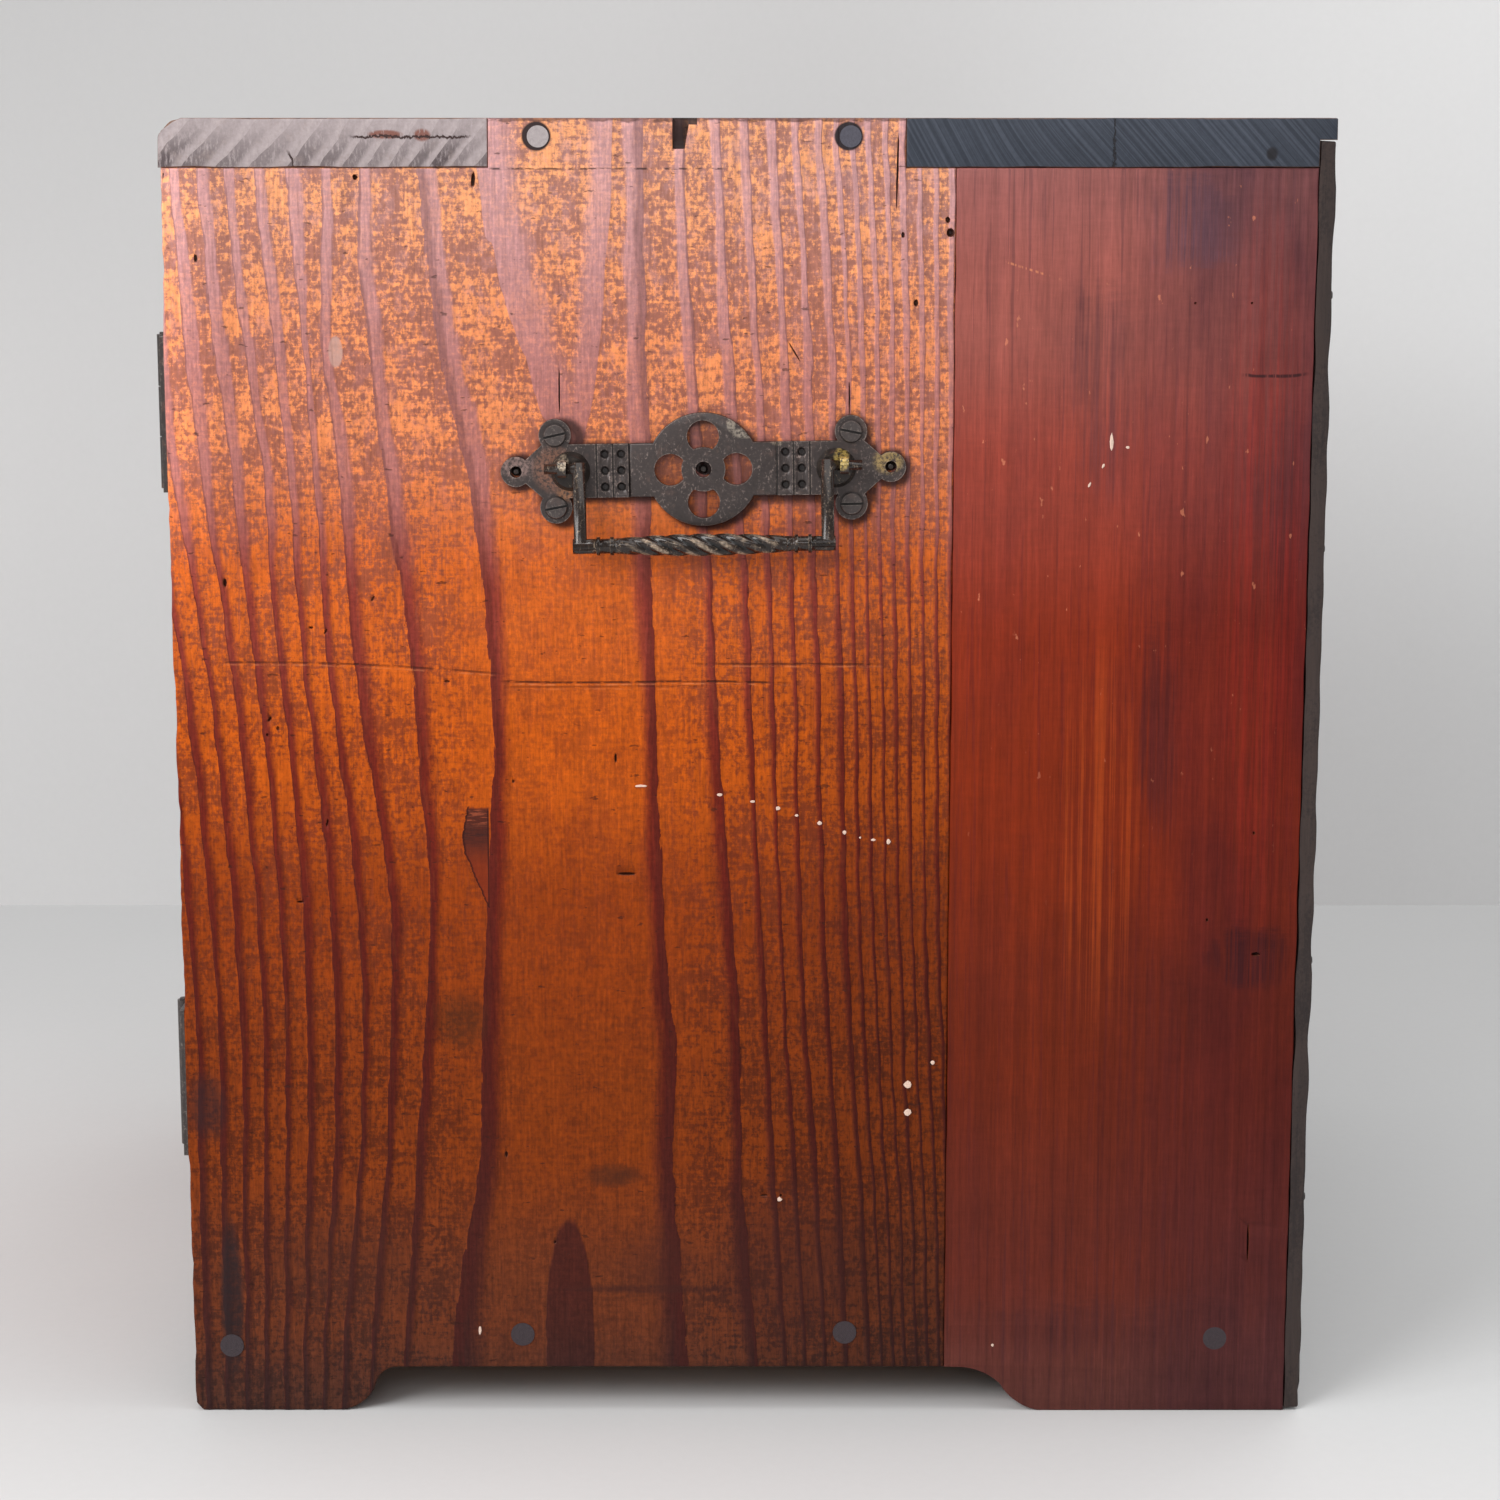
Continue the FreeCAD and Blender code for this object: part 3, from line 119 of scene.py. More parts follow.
class Paint:
    """One material under construction."""

    def __init__(self, name, roughness=0.5, specular=0.5):
        self.material = bpy.data.materials.new(name)
        self.material.use_nodes = True
        self.tree = self.material.node_tree
        self.shader = self.tree.nodes["Principled BSDF"]
        self.feed(self.shader, {"Roughness": roughness, "Specular IOR Level": specular})
        self.place = self.put("ShaderNodeVectorMath", {
            0: self.put("ShaderNodeTexCoord", {}, "Object"), 1: (1 / MM,) * 3}, operation="MULTIPLY")
        self.x, self.y, self.z = self.split(self.place)

    def feed(self, node, values):
        for key, value in values.items():
            value = value.socket if isinstance(value, Signal) else value
            if isinstance(value, bpy.types.NodeSocket):
                self.tree.links.new(value, node.inputs[key])
            else:
                node.inputs[key].default_value = srgb(*value) if node.inputs[key].type == "RGBA" else value

    def put(self, kind, values, output=0, **settings):
        node = self.tree.nodes.new(kind)
        for key, value in settings.items():
            setattr(node, key, value)
        self.feed(node, values)
        return node.outputs[output]

    def signal(self, kind, values, output=0, **settings):
        return Signal(self, self.put(kind, values, output, **settings))

    def split(self, vector):
        node = self.put("ShaderNodeSeparateXYZ", {0: vector}).node
        return [Signal(self, node.outputs[i]) for i in range(3)]

    def point(self, x=0, y=0, z=0):
        return self.put("ShaderNodeCombineXYZ", {0: x, 1: y, 2: z})

    def noise(self, per_mm, stretch=(1, 1, 1), detail=3, rough=0.55, at=None, shift=0):
        """Noise of about per_mm features a millimetre, as 0-1 with a mean of 0.5."""
        spot = self.put("ShaderNodeVectorMath", {0: at or self.place, 1: stretch, 2: (shift,) * 3},
                        operation="MULTIPLY_ADD")
        return self.signal("ShaderNodeTexNoise", {
            "Vector": spot, "Scale": per_mm, "Detail": detail, "Roughness": rough})

    def attribute(self, name):
        """A number that the mesh carries at each of its points."""
        return self.signal("ShaderNodeAttribute", {}, "Fac", attribute_name=name)

    def by_height(self, *stops):
        """A colour that changes up the chest, through stops of (height in mm, red, green, blue)."""
        node = self.tree.nodes.new("ShaderNodeValToRGB")
        line = node.color_ramp
        line.interpolation = "EASE"
        for i, (height, *colour) in enumerate(stops):
            place = height / CASE_HEIGHT
            mark = line.elements[i] if i < 2 else line.elements.new(place)
            mark.position, mark.color = place, srgb(*colour)
        self.feed(node, {0: self.z / CASE_HEIGHT})
        return node.outputs[0]

    def mix(self, share, one, two):
        """Colour one where share is 0 and two where it is 1."""
        return self.put("ShaderNodeMix", {0: share, 6: one, 7: two}, output=2, data_type="RGBA")

    def lay(self, share, colour):
        """Lays a colour over the tone, where share is above 0."""
        self.tone = self.mix(share, self.tone, colour)

    def shade(self, colour, amount):
        """The colour made lighter or darker by a signal around 1."""
        colour = colour if isinstance(colour, bpy.types.NodeSocket) else srgb(*colour)[:3]
        return self.put("ShaderNodeVectorMath", {0: colour, 3: amount}, operation="SCALE")

    def dim(self, amount):
        self.tone = self.shade(self.tone, amount)

    def spot(self, centre, radii, across, up, soft):
        """1 inside an ellipse in the plane of two signals, 0 outside."""
        u, v = (across - centre[0]) / radii[0], (up - centre[1]) / radii[1]
        return 1 - (u * u + v * v).rise(1 - soft, 1 + soft)

    def finish(self, height=None, depth=0.1, roughness=None, metallic=None):
        """Links the tone, and bump from a height signal that stands for depth mm."""
        self.feed(self.shader, {"Base Color": self.tone})
        if roughness is not None:
            self.feed(self.shader, {"Roughness": roughness.clamped()})
        if metallic is not None:
            self.feed(self.shader, {"Metallic": metallic.clamped()})
        if height is not None:
            bump = self.put("ShaderNodeBump", {"Height": height, "Distance": depth * MM, "Strength": 1})
            self.feed(self.shader, {"Normal": bump})
        return self.material


# Grain lines of the side's front board: the ring's number, then (height, depth behind the front edge) in mm.
# Rings 1 to 8 lie before the plain middle of the board and 9 to 23 behind it.
GRAIN = (
    (1, ((500, 2), (480, 4.5), (420, 7), (375, 11.5), (325, 18.5), (275, 24), (200, 29.5), (150, 31), (100, 29.5),
         (0, 27))),
    (3, ((500, 23), (480, 24.5), (430, 28), (375, 35), (325, 37.5), (275, 42), (200, 47.5), (150, 48), (100, 46.5),
         (0, 42))),
    (5, ((500, 46), (430, 51), (375, 54), (300, 58), (250, 63.5), (200, 68.5), (150, 69.5), (100, 67), (50, 60.5),
         (0, 57))),
    (6, ((500, 60.5), (450, 60), (417, 57.5), (375, 63.5), (300, 67.5), (275, 70.5), (225, 79), (200, 81),
         (150, 79.5), (100, 77.5), (50, 71), (0, 68))),
    (7, ((500, 75), (450, 73), (400, 78), (350, 82.5), (315, 88.5), (250, 93), (200, 96.5), (150, 92.5), (100, 89),
         (50, 84.5), (0, 80))),
    (8, ((500, 93), (440, 99.5), (400, 104), (370, 113), (330, 117), (275, 121), (225, 119), (150, 114.5),
         (100, 114), (75, 109.5), (50, 103.5), (0, 100))),
    (9, ((500, 179), (430, 179), (385, 181), (300, 181), (250, 183.5), (175, 186), (150, 190), (100, 187.5),
         (50, 192), (0, 195))),
    (10, ((500, 193), (430, 196), (400, 198.5), (340, 203), (275, 205.5), (225, 210), (150, 214), (100, 214.5),
          (50, 219), (0, 222))),
    (11, ((500, 207), (430, 210), (385, 214), (340, 217), (275, 218.5), (200, 222.5), (150, 225), (100, 227.5),
          (0, 234))),
    (13, ((500, 228), (430, 231), (385, 234), (340, 234.5), (250, 236.5), (200, 238), (150, 240), (100, 244),
          (0, 249))),
    (15, ((500, 245), (420, 250), (340, 251.5), (300, 253), (250, 254), (200, 256), (150, 258), (100, 261),
          (0, 267))),
    (23, ((500, 294), (300, 294), (200, 296), (0, 303))),
)
PLAIN = 8.5             # between rings 8 and 9 lies the plain middle, and the rings face away from it
LATE_SHARE = ((0, .45), (5.5, .42), (6.5, .33), (7.5, .2), (8.3, .12), (8.7, .1), (9.5, .22), (10.5, .3), (12, .35),
              (24, .42))
V_FRONT = ((500, 115), (480, 117), (460, 120.5), (440, 125), (420, 132), (400, 138), (385, 143), (372, 150),
           (350, 153))
V_REAR = ((500, 167.5), (480, 167), (440, 164.5), (420, 162.5), (400, 160), (385, 157), (372, 153), (350, 152.5))


def followed(points, where):
    """A line given by a few points, rounded between them: its place at each height."""
    heights, places = zip(*sorted(points))
    return sum(np.interp(where + step, heights, places) for step in (-14, -7, 0, 7, 14)) / 5


def ring_numbers(depth, height):
    """The ring number at each place of the front board."""
    lines = [followed(points, height) for _, points in GRAIN]
    rings = np.full_like(depth, GRAIN[0][0])
    last = len(GRAIN) - 2
    for i in range(last + 1):
        share = (depth - lines[i]) / (lines[i + 1] - lines[i])
        share = np.clip(share, None if i == 0 else 0, None if i == last else 1)
        rings += share * (GRAIN[i + 1][0] - GRAIN[i][0])
    return rings


def rise(low, high, value):
    share = np.clip((value - low) / (high - low), 0, 1)
    return share * share * (3 - 2 * share)


def side_front_wood(name, marks):
    """The bold flat-sawn board of a side. marks adds the knots, scratches and stains of the one that shows, and
    the painted shadow and shade round its handle.
    """
    paint = Paint(name)
    height, depth = paint.z, paint.y - FRONT
    ragged = paint.noise(0.4, (1, 1, .2), rough=0.65) - 0.5
    share = paint.attribute("late_share")
    rings = paint.attribute("ring") + ragged * share * 0.5
    part = rings.fract()
    rear = rings > PLAIN
    saw = part * rear + (1 - part) * (1 - rear)
    # The upper part of the board: rubbed and shinier, and where the tones below carry a painted sheen.
    sheen_and_wear_high = height.rise(320, 400)
    late = saw.rise(1 - share, 1 - share * (sheen_and_wear_high * 0.45 + 0.3))
    # rim is the sharp edge of each late line, where a thin dark line is laid below as a painted shadow of its relief.
    rim = saw.rise(0.94, 0.97)
    if marks:
        from_front, from_rear = paint.attribute("v_front"), paint.attribute("v_rear")
        inside = (from_front > 0) * (from_rear > 0)
        limbs = (from_front + ragged * 6).fall(9, 19).most(from_rear.fall(5, 11))
        foot = paint.spot((147.5 + ragged * 3, 30), (9.5, 48), depth, height, 0.08)
        late = late.most(inside * limbs).most(foot * 0.9)
    # The tones change up the board: lighter and pinker towards the top, a painted sheen, and darker towards the
    # floor, painted shade.
    early_tone = paint.by_height(
        (0, 78, 44, 32), (45, 104, 49, 24), (110, 126, 52, 6), (200, 140, 56, 5), (265, 186, 82, 10),
        (330, 200, 94, 30), (400, 226, 134, 80), (500, 234, 158, 108))
    late_tone = paint.by_height(
        (0, 50, 28, 27), (60, 64, 24, 20), (150, 76, 18, 11), (250, 102, 26, 16), (320, 128, 48, 40),
        (380, 170, 106, 100), (500, 198, 148, 148))
    grime_and_sheen_tone = paint.by_height(
        (0, 50, 31, 28), (120, 80, 31, 13), (260, 120, 50, 28), (380, 140, 80, 68), (500, 154, 104, 98))
    blotch = paint.noise(0.05, detail=5, rough=0.65)
    stipple = paint.noise(0.6, (1, 1, .75), rough=0.7)
    rays = paint.noise(0.3, (1, .3, 2), detail=4, rough=0.7)
    fibre = paint.noise(1.1, (1, 1, .06), detail=2, rough=0.6)
    middle = depth.rise(92, 125) * depth.fall(180, 205)
    mottle = blotch * 0.75 + stipple * 0.8 + rays * 0.55
    worn = (mottle + (1 - sheen_and_wear_high) * 0.04).rise(0.97, 1.16)
    # grime_and_sheen lays the dull tone: dirt lower down, and a painted sheen on the upper part.
    grime_and_sheen = (1 - worn) * (sheen_and_wear_high * 0.85 + (1 - sheen_and_wear_high) * (0.7 - middle * 0.45))
    paint.tone = paint.mix(grime_and_sheen, early_tone, grime_and_sheen_tone)
    ruddy = paint.noise(0.16, (1, 1, .7), detail=5, rough=0.75, shift=14).rise(0.48, 0.62)
    paint.lay(ruddy * (0.2 + sheen_and_wear_high * 0.3), paint.shade(late_tone, 0.82))
    paint.lay(late * (0.96 - worn * sheen_and_wear_high * 0.15), late_tone)
    # Painted shadow along the sharp edge of each late line.
    paint.lay(rim * 0.42, (70, 24, 18))
    dashes = paint.noise(0.7, (1, 1, .12), detail=2, shift=4).rise(0.56, 0.66) * (1 - sheen_and_wear_high * 0.5)
    paint.lay(dashes * (0.45 - middle * 0.25), grime_and_sheen_tone)
    # Painted shade low at the rear of the board, and a painted highlight along its front edge near the top.
    shadow_side = depth.rise(190, 275) * height.fall(250, 420) * 0.3
    edge_highlight = depth.fall(2, 22) * height.rise(280, 380) * 0.35
    lightness = (fibre * 0.8 + 0.6) * (rays * 0.5 + 0.75) * (stipple * 0.8 + 0.6)
    paint.dim(lightness * (1 - shadow_side) * (edge_highlight + 1))
    relief = late * 0.5 + fibre * 0.3 + mottle * 0.5
    if marks:
        relief = relief - front_board_marks(paint, height)
    # Painted shade in pits and dents: darker where the surface lies more than 0.8 mm below the side's face.
    paint.lay((SIDE_FACE - paint.x.size()).rise(0.8, 1.5) * 0.9, PIT_SHADE)
    paint.feed(paint.shader, {"Specular IOR Level": sheen_and_wear_high * 0.2 + 0.12})
    return paint.finish(relief, 0.3, roughness=0.56 - late * 0.1 - sheen_and_wear_high * 0.08 + rays * 0.12)


# Scratches across the board that shows: (depth, height) points in mm, then where it starts and stops, and how strong
# it is.
SCRATCHES = (
    (((17, 297.8), (60, 297.3), (100, 295.2), (126, 293.2)), 17, 128, 0.6),
    (((120, 290.6), (150, 290), (200, 290.5), (235, 289.8)), 122, 236, 0.8),
    (((190, 297.2), (272, 297)), 194, 272, 0.6),
    (((120, 288.2), (200, 288.6)), 124, 205, 0.4),
)
# Stains and bruises, and painted shade in the holes of the handle's plate: centre and half sizes in mm, softness,
# strength and colour.
STAINS = (
    ((64, 414.5), (2.6, 5.8), 0.25, 0.85, (190, 148, 136)),
    ((139.4, 493.4), (5.3, 5.3), 0.2, 1.2, (46, 30, 30)), ((254.3, 493.4), (5.2, 5.2), 0.2, 1.2, (40, 30, 34)),
    # Painted shade: three near-black spots in the holes of the handle's plate, round its nails.
    ((201.4, 373), (4.2, 4.2), 0.1, 1.35, (22, 16, 14)), ((131.5, 372), (3.6, 3.6), 0.1, 1.35, (22, 16, 14)),
    ((270, 374), (3.6, 3.6), 0.1, 1.35, (22, 16, 14)),
    ((15.5, 46), (4.2, 30), 0.6, 0.8, (40, 30, 32)),
    ((8, 124), (7, 12), 0.9, 0.7, (48, 28, 30)),
    ((107, 158), (9, 10), 1, 0.55, (64, 34, 16)),
    ((165, 96), (10, 4), 1, 0.6, (58, 32, 20)),
    ((180, 50), (32, 1.6), 0.9, 0.55, (56, 28, 24)),
    ((182, 60), (14, 14), 1, 0.4, (70, 32, 24)),
    ((232, 60), (26, 30), 1, 0.4, (62, 28, 24)),
    ((60, 60), (26, 22), 1, 0.3, (66, 34, 26)),
)


# The left edge of a small bark pocket, as (height, depth).
KNOT_EDGE = ((203, 118), (210, 115), (218.5, 111.5), (229, 108.6), (236, 109.2), (242, 110.6))
# Rounds of the handle's plate as (depth, height) and radius, and its strap's middle and half sizes, in mm.
PLATE_ROUNDS = (((201.4, 371.2), 20.6), ((147.5, 357.6), 6.2), ((255.5, 358.8), 6.2), ((131.5, 371), 6),
                ((270.2, 372.6), 6), ((148, 384), 6.2), ((255, 385.4), 6.2))
STRAP = ((201.4, 371.2), (62, 10))


def handle_shadow(depth, height, broken):
    """A shadow painted on the wood below the handle's plate, and less of it behind its openings."""
    depth, height = depth - 1, height + 1.7
    wide, tall = (depth - STRAP[0][0]).size() - STRAP[1][0], (height - STRAP[0][1]).size() - STRAP[1][1]
    away = wide.most(tall)
    for (across, up), radius in PLATE_ROUNDS:
        u, v = depth - across, height - up
        away = away.least((u * u + v * v).power(0.5) - radius)
    return (away + (broken - 0.5) * 1.5).fall(-0.2, 2.8) * (away.rise(-3.2, -1.8) * 0.45 + 0.55)


def front_board_marks(paint, height):
    """Scratches, a small knot, stains and pits that the board has on the side that shows, and painted shade and
    shadow round the handle's plate. Gives their depth.
    """
    depth = paint.y - FRONT
    broken = paint.noise(0.12, (1, 1, 3), rough=0.7, shift=5)
    scratch = 0
    for points, start, stop, strength in SCRATCHES:
        depths = [d for d, _ in points]
        off = height - depth.curve(points, (depths[0] - 1, depths[-1] + 1), (280, 300))
        reach = depth.rise(start, start + 6) * depth.fall(stop - 12, stop) * strength
        line = off.size().fall(0.15, 0.55) * reach * broken.rise(0.34, 0.5)
        lip = (off + 0.9).size().fall(0.1, 0.5) * reach * broken.rise(0.45, 0.6)
        paint.lay(line, (52, 22, 16))
        paint.lay(lip * 0.4, (226, 140, 92))
        scratch = line + scratch
    speck = paint.noise(0.28, (1, .5, 1.6), rough=0.6, shift=9).rise(0.67, 0.71)
    paint.lay(speck * 0.6, (48, 22, 16))
    for centre, radii, soft, strength, colour in STAINS:
        stain = paint.spot(centre, radii, depth, height, soft)
        paint.lay(stain * (broken * 0.7 + (strength - 0.35)), colour)
    left = depth - height.curve(KNOT_EDGE, (200, 245), (105, 122)) - (broken - 0.5) * 2
    knot = left.rise(-0.2, 0.4) * depth.fall(118.2, 118.8) * height.rise(202.5, 204)
    ragged_top = height + (speck - 0.5) * 1.5 + (broken - 0.5) * 4
    knot = knot * ragged_top.fall(239.5, 241.5)
    crust = paint.noise(0.35, (1, .35, 3.2), detail=4, rough=0.7, shift=6)
    paint.lay(knot * 0.8, paint.shade((118, 40, 18), crust * 0.6 + 0.7))
    paint.lay(knot * height.rise(216, 232) * (crust * 1.3 + 0.2).clamped(), (58, 30, 26))
    paint.lay(knot * height.rise(233, 237) * crust.rise(0.5, 0.58) * 0.8, (150, 74, 48))
    rim = left.size().fall(0.2, 0.9) * knot.rise(0, 0.1) + depth.near(118.2, 0.1, 0.5) * knot
    paint.lay(rim.clamped() * 0.85, (42, 12, 12))
    paint.lay(handle_shadow(depth, height, broken) * 0.85, (46, 20, 16))
    upper_edge = (height + (broken - 0.5) * 6 + (crust - 0.5) * 2).rise(498.3, 499.4)
    paint.lay(upper_edge * 0.7, (62, 32, 28))
    base = height.near(481.6, 0.2, 0.5) * depth.rise(121, 123) * depth.fall(206, 210)
    paint.lay(base * broken.rise(0.45, 0.55) * 0.8, (46, 26, 26))
    return scratch * 1.2 + speck * 0.4


# The same for the rear board, where they show on both sides of the chest alike.
REAR_STAINS = (
    ((375, 275), (8, 40), 1, 0.55, (52, 22, 26)),
    ((410, 181), (9, 12), 1, 0.75, (46, 18, 24)),
    ((384, 466), (15, 16), 1, 0.6, (66, 50, 66)),
    ((352, 400), (10, 36), 1, 0.5, (84, 46, 50)),
    ((378, 120), (22, 60), 1, 0.4, (66, 24, 24)),
    ((360, 33), (50, 12), 1, 0.4, (66, 32, 34)),
)


def side_rear_wood(name):
    """The close-grained, deep red board at the rear of a side."""
    paint = Paint(name)
    depth, height = paint.y - FRONT, paint.z
    slow = paint.noise(0.035, (1, 1, .3), detail=4, rough=0.65)
    cloud = paint.noise(0.03, detail=4, rough=0.6, shift=3)
    line = paint.noise(0.3, (1, 1, .006), detail=4, rough=0.8)
    thin = paint.noise(0.55, (1, 1, .02), detail=2, rough=0.7, shift=8)
    fine = paint.noise(0.9, (1, 1, .12), detail=2)
    rays = paint.noise(0.3, (1, .3, 2), detail=4, rough=0.7)
    paint.tone = paint.by_height(
        (0, 92, 50, 44), (60, 94, 36, 24), (150, 102, 33, 10), (250, 120, 37, 8), (300, 124, 39, 15),
        (370, 138, 54, 40), (430, 146, 76, 66), (500, 142, 84, 80))
    dark = paint.by_height(
        (0, 70, 36, 38), (150, 84, 26, 20), (300, 92, 26, 22), (400, 94, 42, 44), (500, 84, 50, 56))
    rearward = depth.rise(340, 405) * 0.75
    paint.lay((rearward + (slow - 0.5) * 1.6).clamped(), dark)
    stripes = paint.spot((350, 232), (14, 62), depth, height, 1) * line.rise(0.47, 0.56)
    paint.lay(stripes * 0.28, (180, 78, 24))
    redder = paint.spot((410, 330), (14, 120), depth, height, 1) * thin.rise(0.4, 0.6)
    paint.lay(redder * 0.4, (140, 34, 22))
    warped = depth + (slow - 0.5) * 40 + (thin - 0.5) * 14
    bent = height + (cloud - 0.5) * 60 + (rays - 0.5) * 20
    for centre, radii, soft, strength, colour in REAR_STAINS:
        stain = paint.spot(centre, radii, warped, bent, soft)
        paint.lay(stain * thin.rise(0.3, 0.6) * strength, colour)
    pores = thin.rise(0.57, 0.66) * 0.4
    paint.lay(pores, dark)
    pale = paint.noise(0.3, (1, 1, .5), shift=21).rise(0.7, 0.74) * height.rise(180, 330)
    paint.lay(pale * 0.5, (206, 124, 92))
    cut = (height - 406 - (cloud - 0.5) * 6).size().fall(0.3, 0.9) * depth.rise(400, 404)
    paint.lay(cut * depth.fall(422, 427) * thin.rise(0.35, 0.5) * 0.9, (50, 16, 20))
    chafe = (height - 447.5 + (depth - 313) * 0.316).size().fall(0.2, 0.6) * depth.rise(311, 314)
    paint.lay(chafe * depth.fall(330, 334) * fine.rise(0.45, 0.55) * 0.8, (196, 118, 84))
    lightness = (line * 1.1 + 0.45) * (fine * 0.5 + 0.75) * (rays * 0.3 + 0.85) * (cloud * 0.5 + 0.75)
    paint.dim(lightness)
    # Painted shade in pits and dents: darker where the surface lies more than 0.8 mm below the side's face.
    paint.lay((SIDE_FACE - paint.x.size()).rise(0.8, 1.5) * 0.9, PIT_SHADE)
    paint.feed(paint.shader, {"Specular IOR Level": height.rise(300, 420) * 0.15 + 0.12})
    return paint.finish(line * 0.6 + fine * 0.4 + rays * 0.3, 0.2, roughness=0.58 - line * 0.12)


def long_wood(name, light, dark, along=0, ring_mm=7, flatness=1, seed=0, rough=0.62, line_depth=0.75,
              pith=None, soiled=0.5, aged=None):
    """Sawn wood whose grain runs along one axis: 0 is x, 1 is y, 2 is z. pith gives a flat-sawn figure: where its
    middle lies across the board, how deep below the face, and how fast that changes along it. aged is the colour
    of what shows at the chest's front."""
    paint = Paint(name, specular=0.3)
    stretch = [1, 1, 1]
    stretch[along] = 0.06
    thin = [1, 1, 1]
    thin[along] = 0.015
    sway = paint.noise(0.012, stretch, detail=4, shift=seed) - 0.5
    axes = [paint.x, paint.y, paint.z]
    across = [axes[i] for i in range(3) if i != along]
    if pith:
        aside = across[0] - pith[0] + sway * 40
        below = axes[along] * pith[2] + pith[1] + sway * 30
        reach = (aside * aside + below * below).power(0.5) / ring_mm
    else:
        reach = across[0] / ring_mm + across[1] * (flatness / ring_mm) + sway * (60 / ring_mm)
    ragged = paint.noise(0.5, stretch, rough=0.7, shift=seed + 2) - 0.5
    part = (reach + ragged * 0.35 + seed).fract()
    each = paint.noise(0.02, stretch, detail=2, shift=seed + 6).rise(0.3, 0.7)
    late = part.rise(0.25, 0.9) * part.fall(0.92, 1) * (each * 0.6 + 0.4)
    fibre = paint.noise(1.1, stretch, rough=0.7, shift=seed)
    streaks = paint.noise(0.4, thin, detail=4, rough=0.75, shift=seed + 4)
    blotch = paint.noise(0.03, detail=5, rough=0.65, shift=seed)
    stipple = paint.noise(0.6, detail=4, rough=0.75, shift=seed)
    dirt = (blotch * 0.8 + stipple * 0.7 + streaks * 0.3).rise(0.86, 1.08) * soiled
    paint.tone = paint.mix((late * line_depth + (streaks - 0.5) * 0.8 + (blotch - 0.5) * 0.4).clamped(), light, dark)
    paint.lay(dirt * 0.7, paint.shade(dark, 0.7))
    if aged:
        paint.lay((paint.y - FRONT).fall(3, 14 + (seed % 3)) * 0.9, aged)
    paint.dim((fibre * 0.5 + 0.75) * (blotch * 0.5 + 0.75) * (streaks * 0.4 + 0.8))
    return paint.finish(late * 0.5 + fibre * 0.5 + stipple * 0.3, 0.2, roughness=rough - late * 0.1 + dirt * 0.12)


def top_front_end(paint, speck):
    """Grey end grain with dark smears of late wood that lean to the rear, a brown crack and a few checks."""
    depth, height = paint.y - FRONT, paint.z
    sway = paint.noise(0.05) - 0.5
    lean = (depth + (500 - height) * 0.95 + sway * 7) / (12.8 - depth.rise(40, 120) * 2.6)
    part = lean.fract()
    each = paint.noise(1, at=paint.point(lean.floor() * 5.3, 2, 0), detail=0)
    reach = each * 0.7 + 0.1
    low = 1 - height.rise(484, 499) * 0.75
    smear = (part - reach).fall(0, 0.35) * low * (each * 1.6).clamped()
    cloud = paint.noise(0.12, detail=5, rough=0.7)
    hatch = paint.noise(0.8, (1, 1, .3), rough=0.7)
    paint.tone = paint.mix(smear * hatch.rise(0.3, 0.55) * 0.9, (168, 155, 155), (70, 58, 60))
    paint.lay(cloud.rise(0.52, 0.7) * 0.5, (150, 134, 130))
    paint.dim((speck * 0.7 + 0.65) * (hatch * 0.4 + 0.8))
    wave = (hatch - 0.5) * 2.5 + (cloud - 0.5) * 4
    crack = (height - 493.2 - wave).size().fall(0.2, 0.6) * depth.rise(70, 74) * depth.fall(112, 117)
    spots = paint.spot((84, 494), (6, 1.6), depth, height, 0.5).most(
        paint.spot((97.5, 493.8), (3, 2.2), depth, height, 0.5))
    paint.lay(spots * hatch.rise(0.3, 0.5) * 0.9, (124, 72, 58))
    check = (depth - 48.5 - (487 - height) * 0.3 - wave).size().fall(0.2, 0.6) * height.fall(486, 489)
    paint.lay(crack.most(check), (56, 36, 34))
    return paint.tone, speck * 0.5 - crack.most(check) - smear * 0.2


def top_rear_end(paint, speck):
    """Slate coloured end grain with fine saw marks that lean to the front, and one check."""
    depth, height = paint.y - FRONT, paint.z
    slant = depth - (500 - height) * (0.55 + depth.rise(300, 350) * 0.35)
    saw = paint.noise(0.5, at=paint.point(slant, 0, 0), detail=2, rough=0.7)
    cloud = paint.noise(0.03, detail=4)
    paint.tone = paint.mix(saw.rise(0.42, 0.62), (48, 53, 63), (68, 73, 84))
    paint.dim((speck * 0.5 + 0.75) * (cloud * 0.6 + 0.7))
    check = (depth - 352 - (speck - 0.5) * 5).size().fall(0.15, 0.5)
    dot = paint.spot((410, 487), (2, 2.4), depth, height, 0.6)
    paint.lay(check.most(dot) * 0.85, (30, 26, 28))
    return paint.tone, speck * 0.4 + saw * 0.5 - check


def top_wood(name, end_of, light, dark):
    """A top board: end grain on the sides of the chest, long grain on its broad faces."""
    paint = Paint(name, specular=0.3)
    speck = paint.noise(0.5, detail=5, rough=0.75)
    end, end_relief = end_of(paint, speck)
    fibre = paint.noise(1, (.05, 1, 1), rough=0.7)
    slow = paint.noise(0.02, (.06, 1, 1))
    rings = ((paint.y + (slow - 0.5) * 70) / 9).fract()
    face = paint.mix((rings.rise(0.5, 0.95) * 0.7 + slow - 0.5).clamped(), light, dark)
    face = paint.shade(face, (fibre * 0.4 + 0.8) * (speck * 0.5 + 0.75))
    is_end = paint.split(paint.put("ShaderNodeNewGeometry", {}, "True Normal"))[0].size() > 0.7
    relief = end_relief * is_end + fibre * (1 - is_end) * 0.6
    paint.tone = paint.mix(is_end, face, end)
    return paint.finish(relief, 0.2, roughness=0.66 - speck * 0.1)


